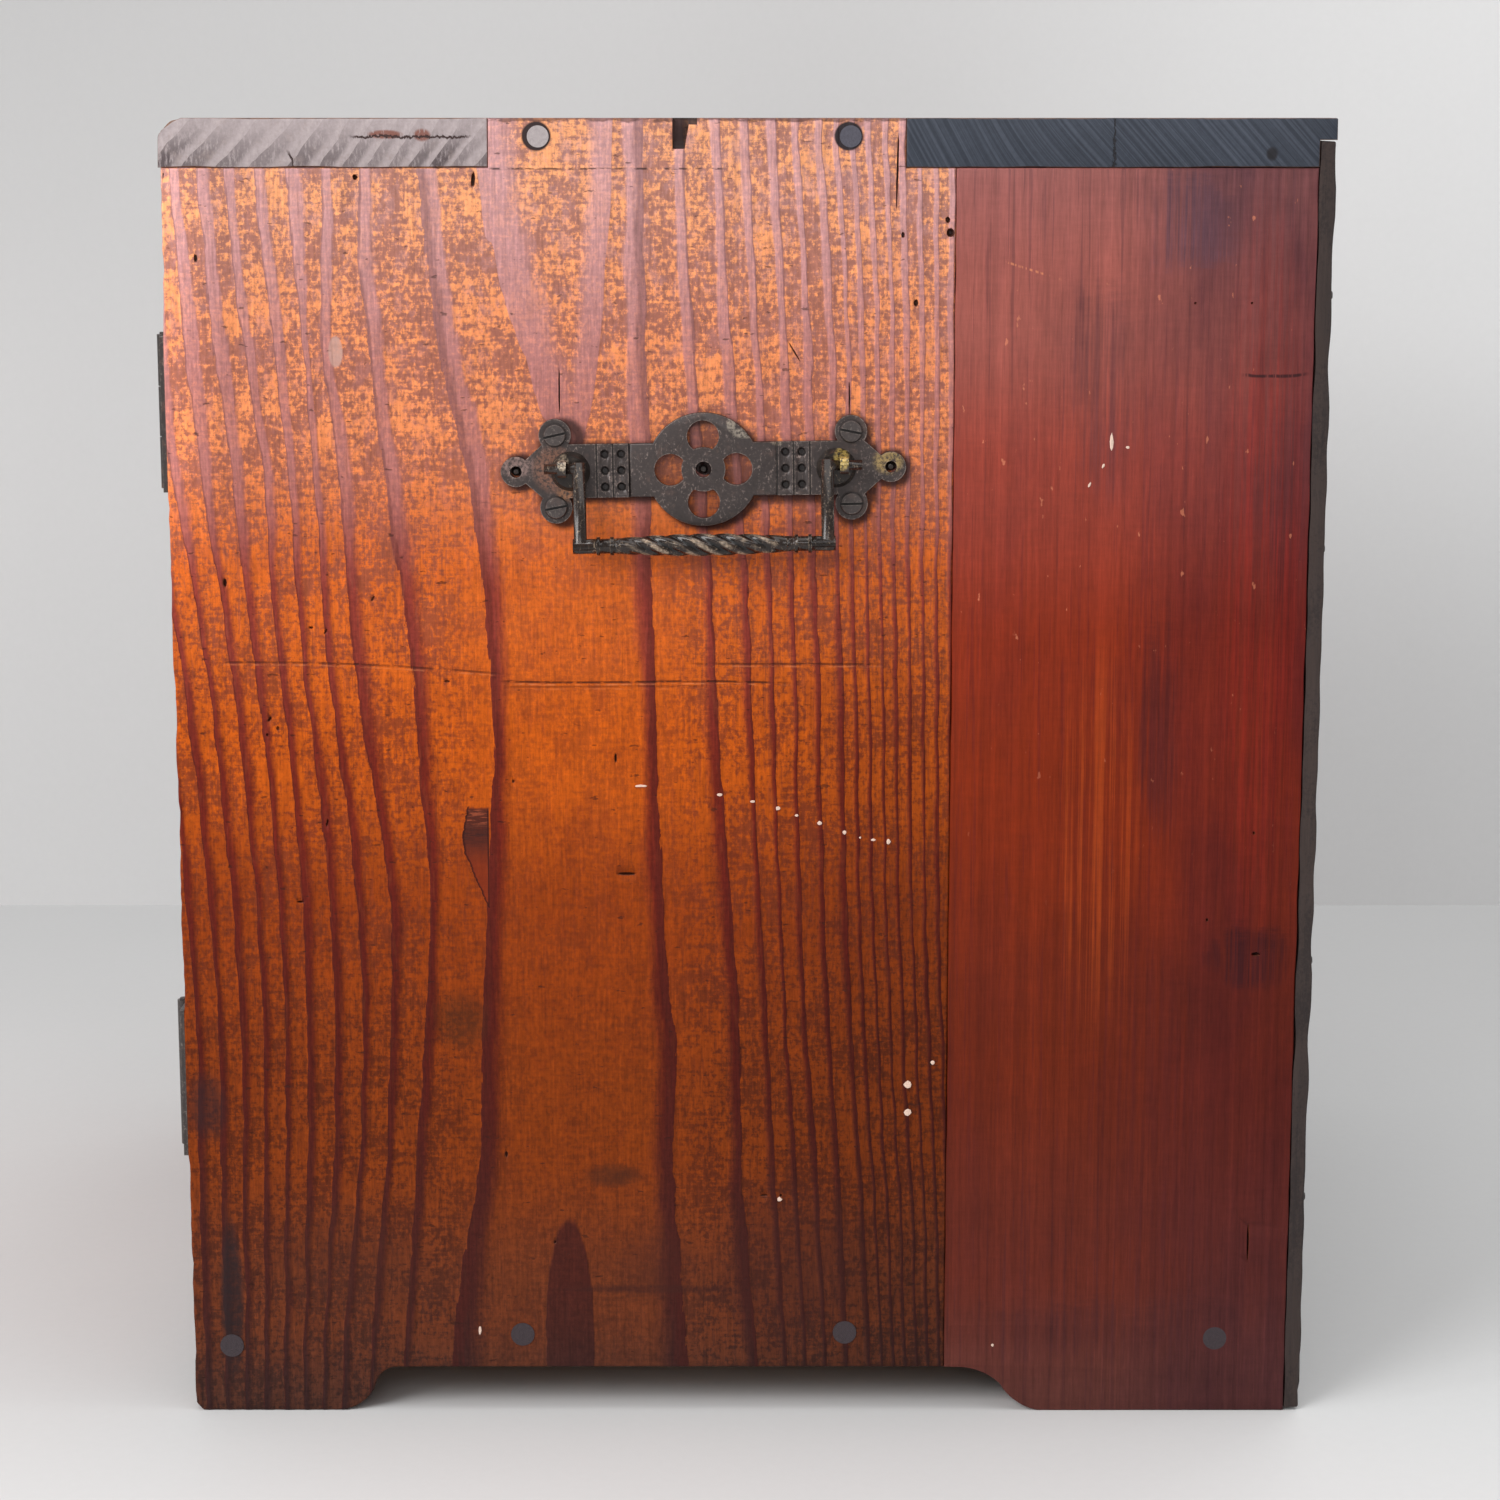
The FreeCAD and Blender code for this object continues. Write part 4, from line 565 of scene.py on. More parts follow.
def iron(name, base, worn, rust, seed=0, rough=0.42, metal=0.7, wear=0.5, patches=(), face=None, bump=0.08,
         rim=0, crest=False, gloss=0, shine=0.5):
    """Old blackened iron, rubbed and scratched, with a little rust. patches are places of another colour, and what
    lies below the outer face, at face mm from the chest's middle, is painted nearly black as shade. rim is how much
    lighter its edges are painted, for rubbed wear and a painted highlight."""
    paint = Paint(name, specular=shine)
    cloud = paint.noise(0.09, detail=5, rough=0.65, shift=seed)
    fine = paint.noise(0.8, detail=4, rough=0.7, shift=seed)
    lines = paint.noise(0.16, (1, 1.6, .7), detail=2, rough=0.5, shift=seed + 5)
    scratch = lines.near(0.5, 0.002, 0.012) * fine.rise(0.48, 0.56) * wear
    rubbed = fine.rise(0.56, 0.68) * cloud.rise(0.42, 0.6) * wear
    rusty = paint.noise(0.13, detail=5, rough=0.7, shift=seed + 9).rise(0.54, 0.66)
    paint.tone = paint.mix(rusty * 0.6, base, rust)
    paint.lay(rubbed * 0.6, worn)
    paint.lay(scratch * 0.8, worn)
    for centre, radii, colour in patches:
        patch = paint.spot(centre, radii, paint.y - FRONT, paint.z, 0.6) * fine.rise(0.34, 0.5)
        paint.lay(patch * fine.rise(0.3, 0.6) * 0.9, colour)
    paint.dim((fine * 0.9 + 0.55) * (cloud * 0.8 + 0.6))
    # Edges painted lighter: rubbed wear and a painted highlight.
    if rim:
        round_off = paint.put("ShaderNodeBevel", {"Radius": RUBBED_AND_HIGHLIT_EDGE * MM}, samples=6)
        flat = paint.put("ShaderNodeNewGeometry", {}, "Normal")
        turned = paint.signal("ShaderNodeVectorMath", {0: round_off, 1: flat}, "Value", operation="DOT_PRODUCT")
        paint.lay((1 - turned).rise(0.01, 0.12) * fine.rise(0.38, 0.56) * rim, worn)
    # The grip's strands: crests painted lighter, rubbed wear and a painted highlight; grooves painted nearly black,
    # painted shade.
    if crest:
        strand = paint.attribute("crest")
        bright = strand.rise(0.1, 0.95) * paint.noise(0.3, (1, .5, 1), detail=4, shift=2).rise(0.4, 0.58)
        paint.lay(bright * (fine.rise(0.4, 0.62) * 0.5 + 0.3), worn)
        paint.lay(strand.fall(-1, -0.35), (14, 11, 10))
    if gloss:
        paint.feed(paint.shader, {"Coat Weight": gloss, "Coat Roughness": 0.12})
    # Painted shade: what lies below the outer face, in slots, cut lines and along the edges, is painted nearly black.
    if face:
        paint.lay((face - paint.x.size()).rise(0.2, 0.6) * 0.85, (26, 22, 22))
    return paint.finish(fine * 0.6 + cloud * 0.6 - scratch * 0.4, bump,
                        roughness=fine * 0.25 + cloud * 0.2 + (rough - 0.2) - rubbed * 0.1,
                        metallic=metal - rusty * 0.4)


def peg_wood(name):
    """End grain of the wooden pegs: dark and greasy near the floor, weathered grey at the top."""
    paint = Paint(name, specular=0.35)
    grain = paint.noise(0.8, detail=6, rough=0.75)
    high = (paint.y - FRONT).rise(190, 210)
    paint.tone = paint.mix(paint.z.rise(200, 480), (58, 48, 52), paint.mix(high, (168, 158, 158), (80, 78, 88)))
    paint.dim(grain * 0.9 + 0.55)
    return paint.finish(grain, 0.3, roughness=0.55 + grain * 0.1)


WOOD = {
    "right_side_front_board": side_front_wood("side_front_wood_right", True),
    "left_side_front_board": side_front_wood("side_front_wood_left", False),
}
WOOD["right_side_rear_board"] = WOOD["left_side_rear_board"] = side_rear_wood("side_rear_wood")
WOOD["top_front_board"] = top_wood("top_front_wood", top_front_end, (120, 84, 62), (66, 42, 34))
WOOD["top_rear_board"] = top_wood("top_rear_wood", top_rear_end, (96, 68, 54), (48, 34, 30))
for node, pith, seed in (("door_left_plank", (-118, 4, 0.11), 11),
                         ("door_right_plank", (86, 46, -0.09), 43)):
    WOOD[node] = long_wood(node + "_wood", (166, 76, 32), (84, 30, 18), along=2, ring_mm=9, seed=seed, rough=0.5,
                           pith=pith)
for node, seed in (("door_top_cleat", 17), ("door_bottom_cleat", 19)):
    WOOD[node] = long_wood(node + "_wood", (150, 66, 30), (76, 28, 18), ring_mm=9, seed=seed, flatness=0.5, rough=0.5)
PALE_LIGHT, PALE_DARK = (160, 118, 80), (104, 68, 44)
for node, seed in (("shelf", 23), ("bottom_front_board", 25), ("bottom_rear_board", 27)):
    WOOD[node] = long_wood(node + "_wood", PALE_LIGHT, PALE_DARK, ring_mm=11, seed=seed, rough=0.75,
                           pith=(seed * 9 - 225, 30, 0.09), soiled=0.6, aged=(92, 46, 28))
for node, look, along, seed in (("top_door_stop", "stop_wood", 0, 33), ("side_door_stop", "side_stop_wood", 2, 29)):
    WOOD[node] = long_wood(look, PALE_LIGHT, PALE_DARK, along=along, ring_mm=8, seed=seed, rough=0.75)
BACK_BOARDS = ("back_left_board", "back_middle_board", "back_right_board")
WOOD.update(dict.fromkeys(BACK_BOARDS, long_wood(
    "back_wood", (62, 50, 46), (28, 25, 28), along=2, ring_mm=9, flatness=0.2, seed=37, soiled=0.7)))
PEGS = peg_wood("peg_wood")
PLATE = iron("handle_plate_iron", (64, 55, 53), (178, 158, 148), (76, 54, 46), wear=0.45, metal=0.4, rough=0.45,
             face=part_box("right_handle_plate")[1].x / MM, rim=0.5, gloss=0.15, patches=(
                 ((269.6, 374.2), (5.2, 4.6), (158, 132, 84)), ((131, 373), (6, 5), (128, 104, 98)),
                 ((145, 371), (7.5, 8), (132, 92, 74)), ((150, 362), (4, 3), (150, 104, 74)),
                 ((216, 384.5), (4.5, 1.8), (150, 138, 124)), ((211, 388), (1.6, 3), (150, 138, 124)),
                 ((228, 381.5), (2.2, 1.6), (142, 128, 112))))
SCREWS = iron("handle_screw_iron", (74, 66, 64), (150, 138, 130), (78, 58, 50), seed=15, metal=0.4,
              rough=0.45, rim=0.35, face=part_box("right_handle_screws")[1].x / MM)
BAIL = iron("bail_iron", (38, 28, 23), (190, 166, 142), (58, 38, 26), seed=3, rough=0.24, metal=0.2,
            wear=0.4, bump=0.015, rim=0.2, crest=True, gloss=0.45, shine=0.25)
POSTS = iron("post_iron", (44, 36, 32), (186, 164, 132), (56, 42, 32), seed=6, rough=0.3, metal=0.5,
             bump=0.03, gloss=0.5, patches=(((252, 375.5), (2.6, 3.6), (206, 176, 96)),
                                            ((148.6, 374), (1.8, 2.6), (176, 158, 136))))
DOOR_IRON = iron("door_iron", (62, 55, 53), (140, 130, 122), (84, 56, 44), seed=9, metal=0.45, rim=0.35,
                 gloss=0.15)
NAIL_IRON = iron("nail_iron", (60, 54, 52), (150, 142, 134), (88, 56, 42), seed=12, rough=0.4)
# The nodes that WOOD doesn't list, by a word in their name. The first that fits is taken.
BY_WORD = {"pegs": PEGS, "handle_plate": PLATE, "handle_screws": SCREWS, "handle_posts": POSTS, "bail": BAIL,
           "nails": NAIL_IRON, "hinge": DOOR_IRON, "plate": DOOR_IRON, "lock": DOOR_IRON, "pull": DOOR_IRON}
for name, node in nodes.items():
    node.data.materials.clear()
    node.data.materials.append(WOOD.get(name) or next(BY_WORD[word] for word in BY_WORD if word in name))

# ---------------------------------------------------------------- worn boards

PIT_CORNERS = 9
FLECK_CORNERS = 8
EDGE_TURN = 0.7         # two faces that meet at more than this, in radians, have an edge between them
HOLE_SPAN = 0.06        # a line of edges shorter than this is the rim of a hole


def added(name, data):
    thing = bpy.data.objects.new(name, data)
    SCENE.collection.objects.link(thing)
    return thing


def mesh_of(name, bm):
    mesh = bpy.data.meshes.new(name)
    bm.to_mesh(mesh)
    bm.free()
    return mesh


def outline_edges(bm, axis, level):
    """The edges round a flat side of a board, without the rims of its holes."""
    left = {e for e in bm.edges if all(abs(v.co[axis] - level) < 1e-5 for v in e.verts)
            and len(e.link_faces) == 2 and e.calc_face_angle(0) > EDGE_TURN}
    found = []
    while left:
        group, queue = set(), [left.pop()]
        while queue:
            edge = queue.pop()
            group.add(edge)
            near = {e for v in edge.verts for e in v.link_edges} & left
            left -= near
            queue += near
        spots = np.array([v.co for e in group for v in e.verts])
        if np.linalg.norm(spots.max(0) - spots.min(0)) > HOLE_SPAN:
            found += group
    return found


def slice_faces(bm, faces, axis, places):
    """Cuts faces at places along an axis, and gives the pieces back."""
    if not faces or not places:
        return faces
    middle = len(places) // 2
    edges = {e for f in faces for e in f.edges}
    verts = {v for f in faces for v in f.verts}
    normal = [0, 0, 0]
    normal[axis] = 1
    cut = bmesh.ops.bisect_plane(bm, geom=list(faces) + list(edges) + list(verts), dist=1e-7,
                                 plane_co=[places[middle] * c for c in normal], plane_no=normal)
    parts = {f for f in cut["geom"] if isinstance(f, bmesh.types.BMFace)}
    low = [f for f in parts if f.calc_center_median()[axis] < places[middle]]
    high = [f for f in parts if f.calc_center_median()[axis] >= places[middle]]
    return slice_faces(bm, low, axis, places[:middle]) + slice_faces(bm, high, axis, places[middle + 1:])


def joined(bm, rings, ends):
    """Faces between each ring of points and the next, and over the rings that ends names."""
    return [bm.faces.new((near[i - 1], near[i], far[i], far[i - 1]))
            for near, far in zip(rings, rings[1:]) for i in range(len(near))] + [bm.faces.new(rings[i]) for i in ends]


def uneven_ring(bm, level, out, middle, reach, lean, uneven):
    """A ring of points with a ragged outline, out mm before a side's face. middle is (depth, height), reach its half
    width and half height, and uneven gives each point's own share of them."""
    ring = []
    for i, share in enumerate(uneven):
        turn = math.tau * i / len(uneven)
        y, z = math.cos(turn) * reach[0] * share, math.sin(turn) * reach[1] * share
        ring.append(bm.verts.new(Vector((level, (middle[0] + FRONT) * MM, middle[1] * MM))
                                 + MM * Vector((out, y + lean * z, z))))
    return ring


def cutters(pits, level, outward):
    """Closed cones that reach into a side's outer face. A pit is its middle as (depth, height), its half width and
    half height, how deep it goes and, if it leans, how far."""
    bm = bmesh.new()
    for index, (depth, height, wide, tall, deep, *lean) in enumerate(pits):
        joined(bm, [uneven_ring(bm, level, -outward * inward, (depth, height), (wide, tall), sum(lean), [
            share * (1 + 0.22 * rough((index * 9.1 + i * 3.3, deep, share), 0.001)) for i in range(PIT_CORNERS)])
            for share, inward in ((1.25, -0.6), (1, 0), (0.75, deep * 0.7), (0.3, deep))], (0, -1))
    bmesh.ops.recalc_face_normals(bm, faces=bm.faces)
    return bm


def outer_face(name, outward):
    """Where a node's outer face lies: its highest x on the right side of the chest, its lowest on the left."""
    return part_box(name)[outward > 0].x


def pitted(name, pits, outward):
    """A CAD node's mesh with pits cut into its outer face."""
    tool = added("pits", mesh_of("pits", cutters(pits, outer_face(name, outward), outward)))
    copy = added("pitted", nodes[name].data.copy())
    cut = copy.modifiers.new("cut", "BOOLEAN")
    cut.operation, cut.object, cut.solver = "DIFFERENCE", tool, "EXACT"
    bpy.context.view_layer.update()
    mesh = bpy.data.meshes.new_from_object(copy.evaluated_get(bpy.context.evaluated_depsgraph_get()))
    for thing in (tool, copy):
        bpy.data.objects.remove(thing)
    return mesh


def board(name, body, sides, rounding, steps, shape, materials, source=None, sharp=32):
    """A worn board that stands for a CAD node. sides are its flat sides, as (axis, level), whose outlines are
    rounded; steps has an axis, how far apart the cuts across it lie and which faces they cut; shape moves the
    points."""
    bm = bmesh.new()
    bm.from_mesh(source or nodes[name].data)
    bmesh.ops.remove_doubles(bm, verts=bm.verts, dist=1e-6)
    bmesh.ops.dissolve_limit(bm, angle_limit=math.radians(0.5), verts=bm.verts, edges=bm.edges)
    edges = {e for axis, level in sides for e in outline_edges(bm, axis, level)}
    if edges:
        bmesh.ops.bevel(bm, geom=list(edges), offset=rounding * MM, offset_type="OFFSET", segments=2, profile=0.55,
                        affect="EDGES", clamp_overlap=False, material=-1)
    low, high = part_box(name)
    for axis, step, *wanted in steps:
        count = int((high[axis] - low[axis]) / (step * MM))
        places = [low[axis] + (high[axis] - low[axis]) * i / count for i in range(1, count)]
        slice_faces(bm, [f for f in bm.faces if not wanted or wanted[0](f)], axis, places)
    shape(bm, low, high)
    mesh = mesh_of("worn_" + name, bm)
    mesh.shade_smooth()
    mesh.set_sharp_from_angle(angle=math.radians(sharp))
    for material in materials:
        mesh.materials.append(material)
    piece = added("worn_" + name, mesh)
    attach(piece, body)
    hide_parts(name)


def rough(spot, per_mm, seed=0):
    """Noise from -1 to 1 at a place in the row frame."""
    return noise.noise(Vector(spot) * (per_mm / MM) + Vector((seed, seed * 1.7, seed * 2.3)))


def carve_side_front(outward, marks):
    """Raises the late wood of a side's front board, and wears its front edge."""
    def shape(bm, low, high):
        level = high.x if outward > 0 else low.x
        layers = [bm.verts.layers.float.new(n) for n in ("ring", "late_share", "v_front", "v_rear")]
        verts = list(bm.verts)
        spots = np.array([v.co for v in verts])
        seed = 0 if marks else 31
        sway = np.array([rough(c, 0.012, seed) for c in spots])
        wobble = np.array([rough(c, 0.05, seed) for c in spots])
        height = spots[:, 2] / MM
        depth = spots[:, 1] / MM - FRONT + sway * (0.8 if marks else 11) + wobble * 0.8
        rings = ring_numbers(depth, height)
        along = np.array([0.5 + 0.5 * noise.noise(Vector((math.floor(r) * 7.1, 0.3, z * 0.02)))
                          for r, z in zip(rings, height)])
        share = np.interp(rings, *zip(*LATE_SHARE)) * (0.5 + along * 1.1)
        part = rings - np.floor(rings)
        saw = np.where(rings > PLAIN, part, 1 - part)
        late = rise(1 - share, 1 - share * 0.45, saw)
        feather = np.array([rough((c[0], c[1], c[2] * 0.15), 0.25, 3) for c in spots]) * 2
        from_front = np.where(height > 370, depth - followed(V_FRONT, height) + feather, -1)
        from_rear = np.where(height > 370, followed(V_REAR, height) - depth, -1)
        if marks:
            limbs = np.maximum(1 - rise(9, 19, from_front), 1 - rise(5, 11, from_rear))
            late = np.maximum(late, np.where((from_front > 0) & (from_rear > 0), limbs, 0))
        for i, v in enumerate(verts):
            for layer, value in zip(layers, (rings[i], share[i], from_front[i], from_rear[i])):
                v[layer] = value
            if abs(v.co.x - level) < 1.2 * MM:
                v.co.x -= outward * MM * (0.26 * (1 - late[i]) + 0.12 * (1 + wobble[i]))
            if v.co.y < (FRONT + 1.4) * MM and not in_hinge(v.co.z):
                bite = 0.5 * rough((0, 0, v.co.z), 0.04, 5) + 0.35 * rough((0, 0, v.co.z), 0.14, 7)
                v.co.y += MM * min(1.3, max(0, 1.6 * bite + 0.3))
        for f in bm.faces:
            f.material_index = 0 if f.normal.x * outward > 0.25 else 1
    return shape


def in_hinge(z):
    """True where a hinge leaf covers the front edge."""
    return any(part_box(n)[0].z - 0.002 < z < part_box(n)[1].z + 0.002
               for n in ("upper_hinge_case_leaf", "lower_hinge_case_leaf"))


def wear(amount, per_mm, seed, reach=1.3, inner=None, kept=lambda spot: False):
    """Wears a board's outer edges unevenly, always inwards. inner gives its other faces a second material. kept
    tells which points stay, so that a joint is shut behind its worn edge."""
    def shape(bm, low, high):
        middle = (low + high) / 2
        for v in bm.verts:
            if kept(v.co):
                continue
            near = [axis for axis in range(3)
                    if min(v.co[axis] - low[axis], high[axis] - v.co[axis]) < reach * MM]
            if len(near) > 1:
                bite = MM * amount * max(0, rough(v.co, per_mm, seed) + 0.3)
                for axis in near:
                    v.co[axis] += bite if v.co[axis] < middle[axis] else -bite
        if inner:
            for f in bm.faces:
                f.material_index = 0 if inner(f, low, high) else 1
    return shape


def worn_corner(bm, low, high):
    """The top front board: worn edges, and front corners rubbed round."""
    wear(0.5, 0.06, 8)(bm, low, high)
    for v in bm.verts:
        end = min(v.co.x - low.x, high.x - v.co.x) / MM
        fall = (1 - rise(0, 9, (v.co.y - low.y) / MM)) * (0.25 + 0.75 * (1 - rise(0, 26, end)))
        up = rise(0, 14, (v.co.z - low.z) / MM)
        v.co.z -= MM * 4.2 * fall * up * (1 + 0.4 * rough(v.co, 0.08, 2))


def twisted_grip(outward):
    """Puts a grip of four rounded strands in the place of a bail's plain twist, with the twist's own sizes."""
    reach, ends, middle, groove, lead = 31.5, 2.9, 4.2, 1.1, 36     # half length, two radii, depth, mm per turn
    rows, columns, strands = 160, 64, 4

    def shape(bm, low, high):
        centre = (low + high) / 2
        crest = bm.verts.layers.float.new("crest")
        core = [v for v in bm.verts if abs(v.co.y - centre.y) < (reach - 1) * MM]
        spots = np.array([v.co for v in core])
        slope, start = np.polyfit(spots[:, 1], spots[:, 2], 1)
        middle_x = spots[:, 0].mean()
        bmesh.ops.delete(bm, geom=core, context="VERTS")
        bmesh.ops.holes_fill(bm, edges=[e for e in bm.edges if e.is_boundary], sides=0)
        rings = []
        for row in range(rows + 1):
            along = (reach - 0.2) * (2 * row / rows - 1)
            swell = math.cos(math.pi / 2 * along / reach) ** 0.8
            y = centre.y + along * MM
            ring = []
            for column in range(columns):
                angle = math.tau * column / columns
                strand = math.cos(strands * (angle - math.tau * along / lead))
                radius = ends + 0.03 + (middle - ends - 0.03) * swell - groove * swell * ((1 - strand) / 2) ** 2
                vert = bm.verts.new((middle_x + outward * radius * MM * math.cos(angle), y,
                                     slope * y + start - radius * MM * math.sin(angle)))
                vert[crest] = strand * min(1, 1.6 * swell)
                ring.append(vert)
            rings.append(ring)
        bmesh.ops.recalc_face_normals(bm, faces=joined(bm, rings, (0, -1)))
    return shape


# Worm holes, dents and small checks of the side that shows, as cutters() takes them, in mm.
FRONT_PITS = (
    (72.5, 478.5, 1, 1.1, 2.5), (116, 477.5, .8, 3, 2, .1), (292, 458.3, 1.6, 1.7, 3), (291, 463, .9, 1.2, 2),
    (274.5, 457.5, .7, 1.2, 1.6), (279.5, 432.5, .9, 1.4, 2), (13, 449, .7, 1.6, 1.6), (20.5, 328, .8, 2, 1.6),
    (36, 276, .7, 1.2, 1.4, .4), (39, 272.5, .6, .9, 1.2), (35, 270, .5, .7, 1), (103.5, 290.5, 1.2, .5, 1.2),
    (167, 261, .5, 2, 1.6), (171, 216, 4, .7, 1.8), (123.5, 104.5, .7, 1.4, 1.4), (142, 69, .6, .8, 1.2),
    (223.5, 88, 1.6, .5, 1.2), (230, 88, .6, .6, 1), (288, 141, .8, .9, 1.6), (147, 400, .35, 9, 1.6),
    (272.3, 481, .4, 15, 2, .02), (255, 397, .35, 7, 1.4), (234.5, 414.5, .35, 3.6, 1.4, -.6),
    (128, 252, .5, .7, 1.2), (57, 236, .5, 1.6, 1.2, .2), (46, 205, 1.6, .5, 1), (52.5, 311, 1, .5, 1),
    (58, 309.5, .5, 1.2, 1, .5), (76, 322, .5, 1.2, 1.2, .5),
)
REAR_PITS = (
    (412, 69, .5, 8, 2), (412, 184.5, 2, .8, 1.6), (410, 232, .6, .7, 1.2), (393, 198, .6, .7, 1.2),
    (383, 432.5, .5, .5, 1), (404, 432.5, .5, .5, 1),
)

EDGE = long_wood("side_edge_wood", (112, 56, 34), (52, 30, 26), along=2, ring_mm=6, seed=41)
SIDES = (("right", 1), ("left", -1))
for side, outward in SIDES:
    for name, pits, rounding, steps, shape in (
            (side + "_side_front_board", FRONT_PITS, 0.8,
             [(2, 4), (1, 0.8, lambda f, o=outward: f.normal.x * o > 0.9)],
             carve_side_front(outward, side == "right")),
            (side + "_side_rear_board", REAR_PITS, 0.7, [(2, 5)],
             wear(0.35, 0.06, outward * 3, inner=lambda f, low, high, o=outward: f.normal.x * o > 0.25))):
        board(name, "case", [(0, outer_face(name, outward))], rounding, steps, shape, [WOOD[name], EDGE],
              pitted(name, pits, outward) if side == "right" else None)
for name, shape in (("top_front_board", worn_corner), ("top_rear_board", wear(0.45, 0.06, 14))):
    low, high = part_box(name)
    board(name, "case", [(2, high.z), (0, low.x), (0, high.x)], 0.6,
          [(0, 5), (1, 3)], shape, [WOOD[name]])
for name in BACK_BOARDS:
    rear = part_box(name)[1].y
    board(name, "case", [(1, rear)], 0.7, [(2, 3.5)],
          wear(0.9, 0.05, 20, 1.5, kept=lambda spot, rear=rear: abs(spot.x) < 0.15 and spot.y < rear - 1.5 * MM),
          [WOOD[name]])
for name in ("door_left_plank", "door_right_plank", "door_top_cleat", "door_bottom_cleat"):
    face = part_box(name)[0].y
    board(name, "door", [(1, face)], 0.6, [(2, 6), (0, 6)],
          wear(0.3, 0.05, 26, kept=lambda spot, face=face: spot.y > face + 1.5 * MM), [WOOD[name]])

for side, outward in SIDES:
    name = side + "_handle_plate"
    board(name, "case", [(0, outer_face(name, outward))], 0.5, [], lambda bm, low, high: None, [PLATE])
    board(side + "_bail", side + "_bail", [], 0, [], twisted_grip(outward), [BAIL], sharp=80)


# Specks of old paint that cling to the side that shows: (depth, height) of the middle, half sizes and lean.
FLECKS = (
    (176.5, 250.2, 2.5, .5), (206.5, 246.8, 1.1, .6), (219, 244.2, 1, .5), (228.7, 241.5, .9, .8),
    (235.8, 238.8, .7, .6), (244.5, 235.8, .9, .8), (254, 232.2, .8, .8), (260, 230.2, .4, .4),
    (265, 229.3, 1, .5), (270.8, 228.6, .8, 1.1), (112.3, 33, .6, 1.8), (279, 132.7, 1.6, 1.5),
    (279, 121.5, 1.5, 1.4), (288.5, 141.5, .8, .8), (229.5, 86.5, 1, .9), (353, 381, .8, 3.4),
    (359, 379, .8, .6), (350, 372, .5, .9, .4), (345, 365, .5, 1, .4), (313, 27, .6, .6),
)


def paint_flecks(name):
    """Thin, flat-topped specks with uneven outlines, on the outer face of the right side."""
    bm = bmesh.new()
    level = outer_face("right_side_rear_board", 1)
    for index, (depth, height, wide, tall, *lean) in enumerate(FLECKS):
        joined(bm, [uneven_ring(bm, level, out, (depth, height), (wide, tall), sum(lean), [
            share * (1 + 0.45 * rough((index * 7.7 + i * 2.9, 1, 4), 0.001)) for i in range(FLECK_CORNERS)])
            for share, out in ((1, -0.45), (0.95, 0.02), (0.6, 0.12))], (-1,))
    bmesh.ops.recalc_face_normals(bm, faces=bm.faces)
    mesh = mesh_of(name, bm)
    paint = Paint(name + "_colour", roughness=0.6, specular=0.3)
    paint.tone = paint.shade((226, 196, 178), paint.noise(0.9) * 0.6 + 0.65)
    mesh.materials.append(paint.finish())
    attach(added(name, mesh), "case")


paint_flecks("paint_flecks")

# ---------------------------------------------------------------- stage

WALL_X = -0.66          # the wall stands a little behind the chest, as the photograph sees it
WALL_Y = 3.4            # another closes the corner behind the chest's back


def stage_plane(name, corners, colour, roughness, fall, one_sided=False):
    """A flat piece of the studio. fall gives the light and shade painted over it: where its colour is made lighter
    and darker. A one-sided piece is only seen from its front: it hides nothing from behind, and keeps no light off
    the chest."""
    mesh = bpy.data.meshes.new(name)
    mesh.from_pydata(corners, [], [(0, 1, 2, 3)])
    paint = Paint(name, roughness=roughness, specular=0.2)
    cloud = paint.noise(0.004, detail=4)
    speck = paint.noise(0.2, detail=5, rough=0.7)
    paint.tone = paint.shade(colour, (cloud * 0.06 + 0.97) * (speck * 0.05 + 0.975) * fall(paint))
    paint.finish()
    if one_sided:
        behind = paint.signal("ShaderNodeNewGeometry", {}, "Backfacing")
        camera_ray, glossy, passing = (paint.signal("ShaderNodeLightPath", {}, f"Is {kind} Ray")
                                       for kind in ("Camera", "Glossy", "Transmission"))
        shown = camera_ray.most(glossy).most(passing) * (1 - behind)
        clear = paint.put("ShaderNodeBsdfTransparent", {})
        both = paint.put("ShaderNodeMixShader", {0: shown, 1: clear, 2: paint.shader.outputs[0]})
        paint.feed(paint.tree.nodes["Material Output"], {"Surface": both})
    mesh.materials.append(paint.material)
    added(name, mesh)


# Painted light and shade on the floor: darker far behind the chest, lighter towards the front.
def floor_painted_light(paint):
    return paint.x.rise(-620, 0) * 0.16 + paint.x.rise(60, 330) * 0.06 + 0.9


# Painted light and shade on the walls: lighter to the right, darker high up on the left.
def wall_painted_light(paint):
    left = 1 - paint.y.rise(-520, 0)
    return paint.y.rise(0, 520) * 0.3 + 1 - left * paint.z.rise(250, 700) * 0.2


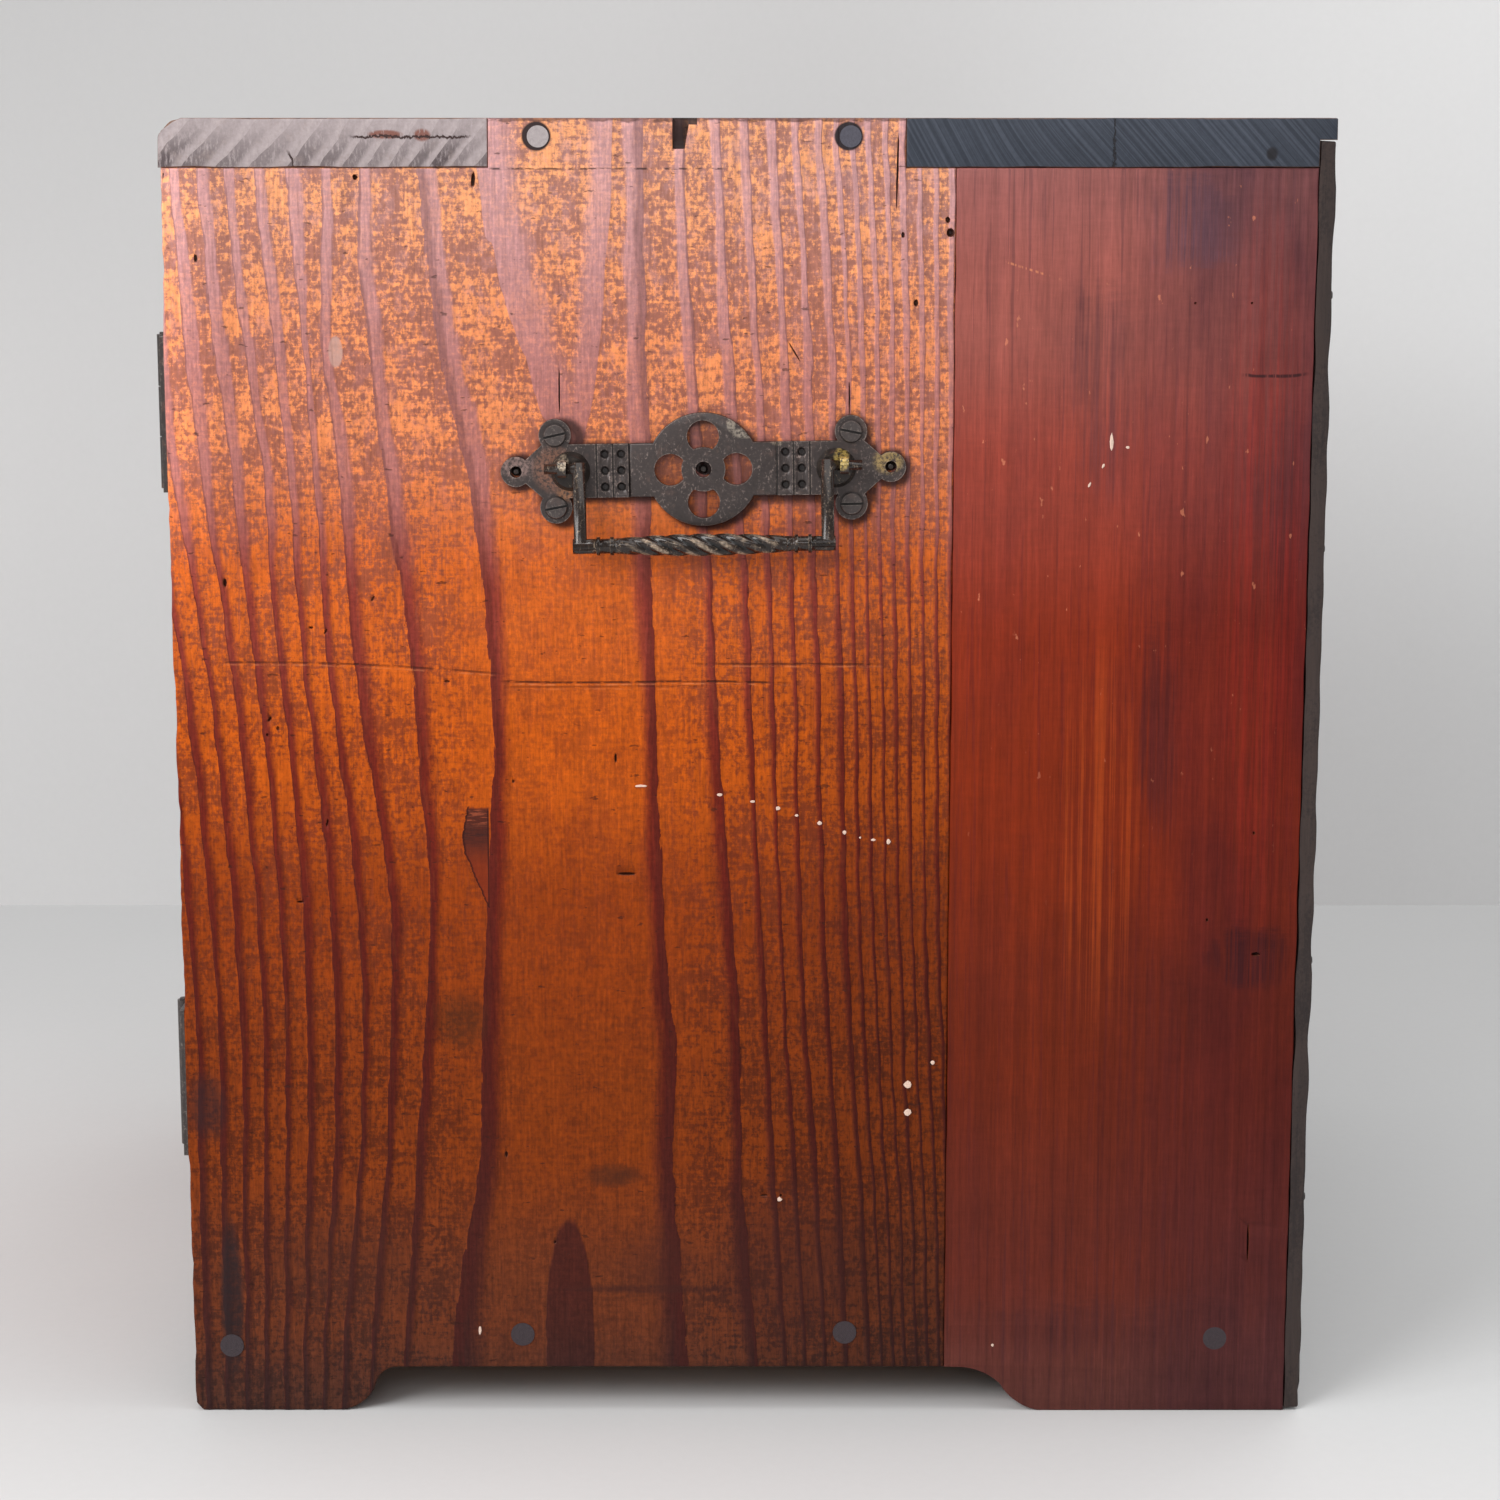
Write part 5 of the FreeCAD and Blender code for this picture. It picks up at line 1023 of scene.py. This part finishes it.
stage_plane("studio_floor", [(-4, -4, 0), (4, -4, 0), (4, 4, 0), (-4, 4, 0)], (206, 206, 206), 0.7, floor_painted_light)
for name, corners in (
        ("studio_wall", [(WALL_X, -4, 3), (WALL_X, -4, 0), (WALL_X, WALL_Y, 0), (WALL_X, WALL_Y, 3)]),
        ("studio_back_wall", [(WALL_X, WALL_Y, 0), (4, WALL_Y, 0), (4, WALL_Y, 3), (WALL_X, WALL_Y, 3)])):
    stage_plane(name, corners, (203, 203, 203), 0.9, wall_painted_light, one_sided=True)


def lamp(name, place, aim, size, power):
    """A soft rectangular lamp at a place, turned to a point."""
    data = bpy.data.lights.new(name, "AREA")
    data.shape, data.size, data.size_y = "RECTANGLE", size[0], size[1]
    data.energy = power
    light = added(name, data)
    light.location = place
    light.rotation_euler = (Vector(aim) - Vector(place)).to_track_quat("-Z", "Y").to_euler()
    light.visible_camera = False


lamp("key_lamp", (1.9, -1.5, 1.7), (0.1, 0, 0.25), (1.2, 1.2), 39)
lamp("top_lamp", (0.3, 0.2, 2.4), (0.1, 0, 0), (2.2, 2.2), 27)
lamp("sheen_lamp", (2.3, -0.25, 1.15), (0.22, -0.05, 0.45), (1, 0.6), 6)
lamp("strip_lamp", (0.95, -1.7, 0.7), (0.22, -0.02, 0.36), (0.25, 1.3), 7)
lamp("right_fill", (0.15, 2.5, 1.2), (WALL_X, 0.5, 0.3), (1.2, 1.2), 10)
lamp("rear_fill", (-2, 1.3, 1.6), (0, 0, 0.25), (1.5, 1.5), 9)

world = bpy.data.worlds.new("studio_world")
world.use_nodes = True
world.node_tree.nodes["Background"].inputs["Color"].default_value = (1, 1, 1, 1)
world.node_tree.nodes["Background"].inputs["Strength"].default_value = 0.38
SCENE.world = world

# ---------------------------------------------------------------- camera

camera_data = bpy.data.cameras.new("photo_camera")
camera_data.sensor_width, camera_data.lens = 36, 82.34
camera = added("photo_camera", camera_data)
camera.location = (1.5, 0.0079, 0.5)
camera.rotation_euler = Euler((math.radians(79.56), 0, math.radians(90)))
SCENE.camera = camera
SCENE.view_settings.view_transform = "Standard"
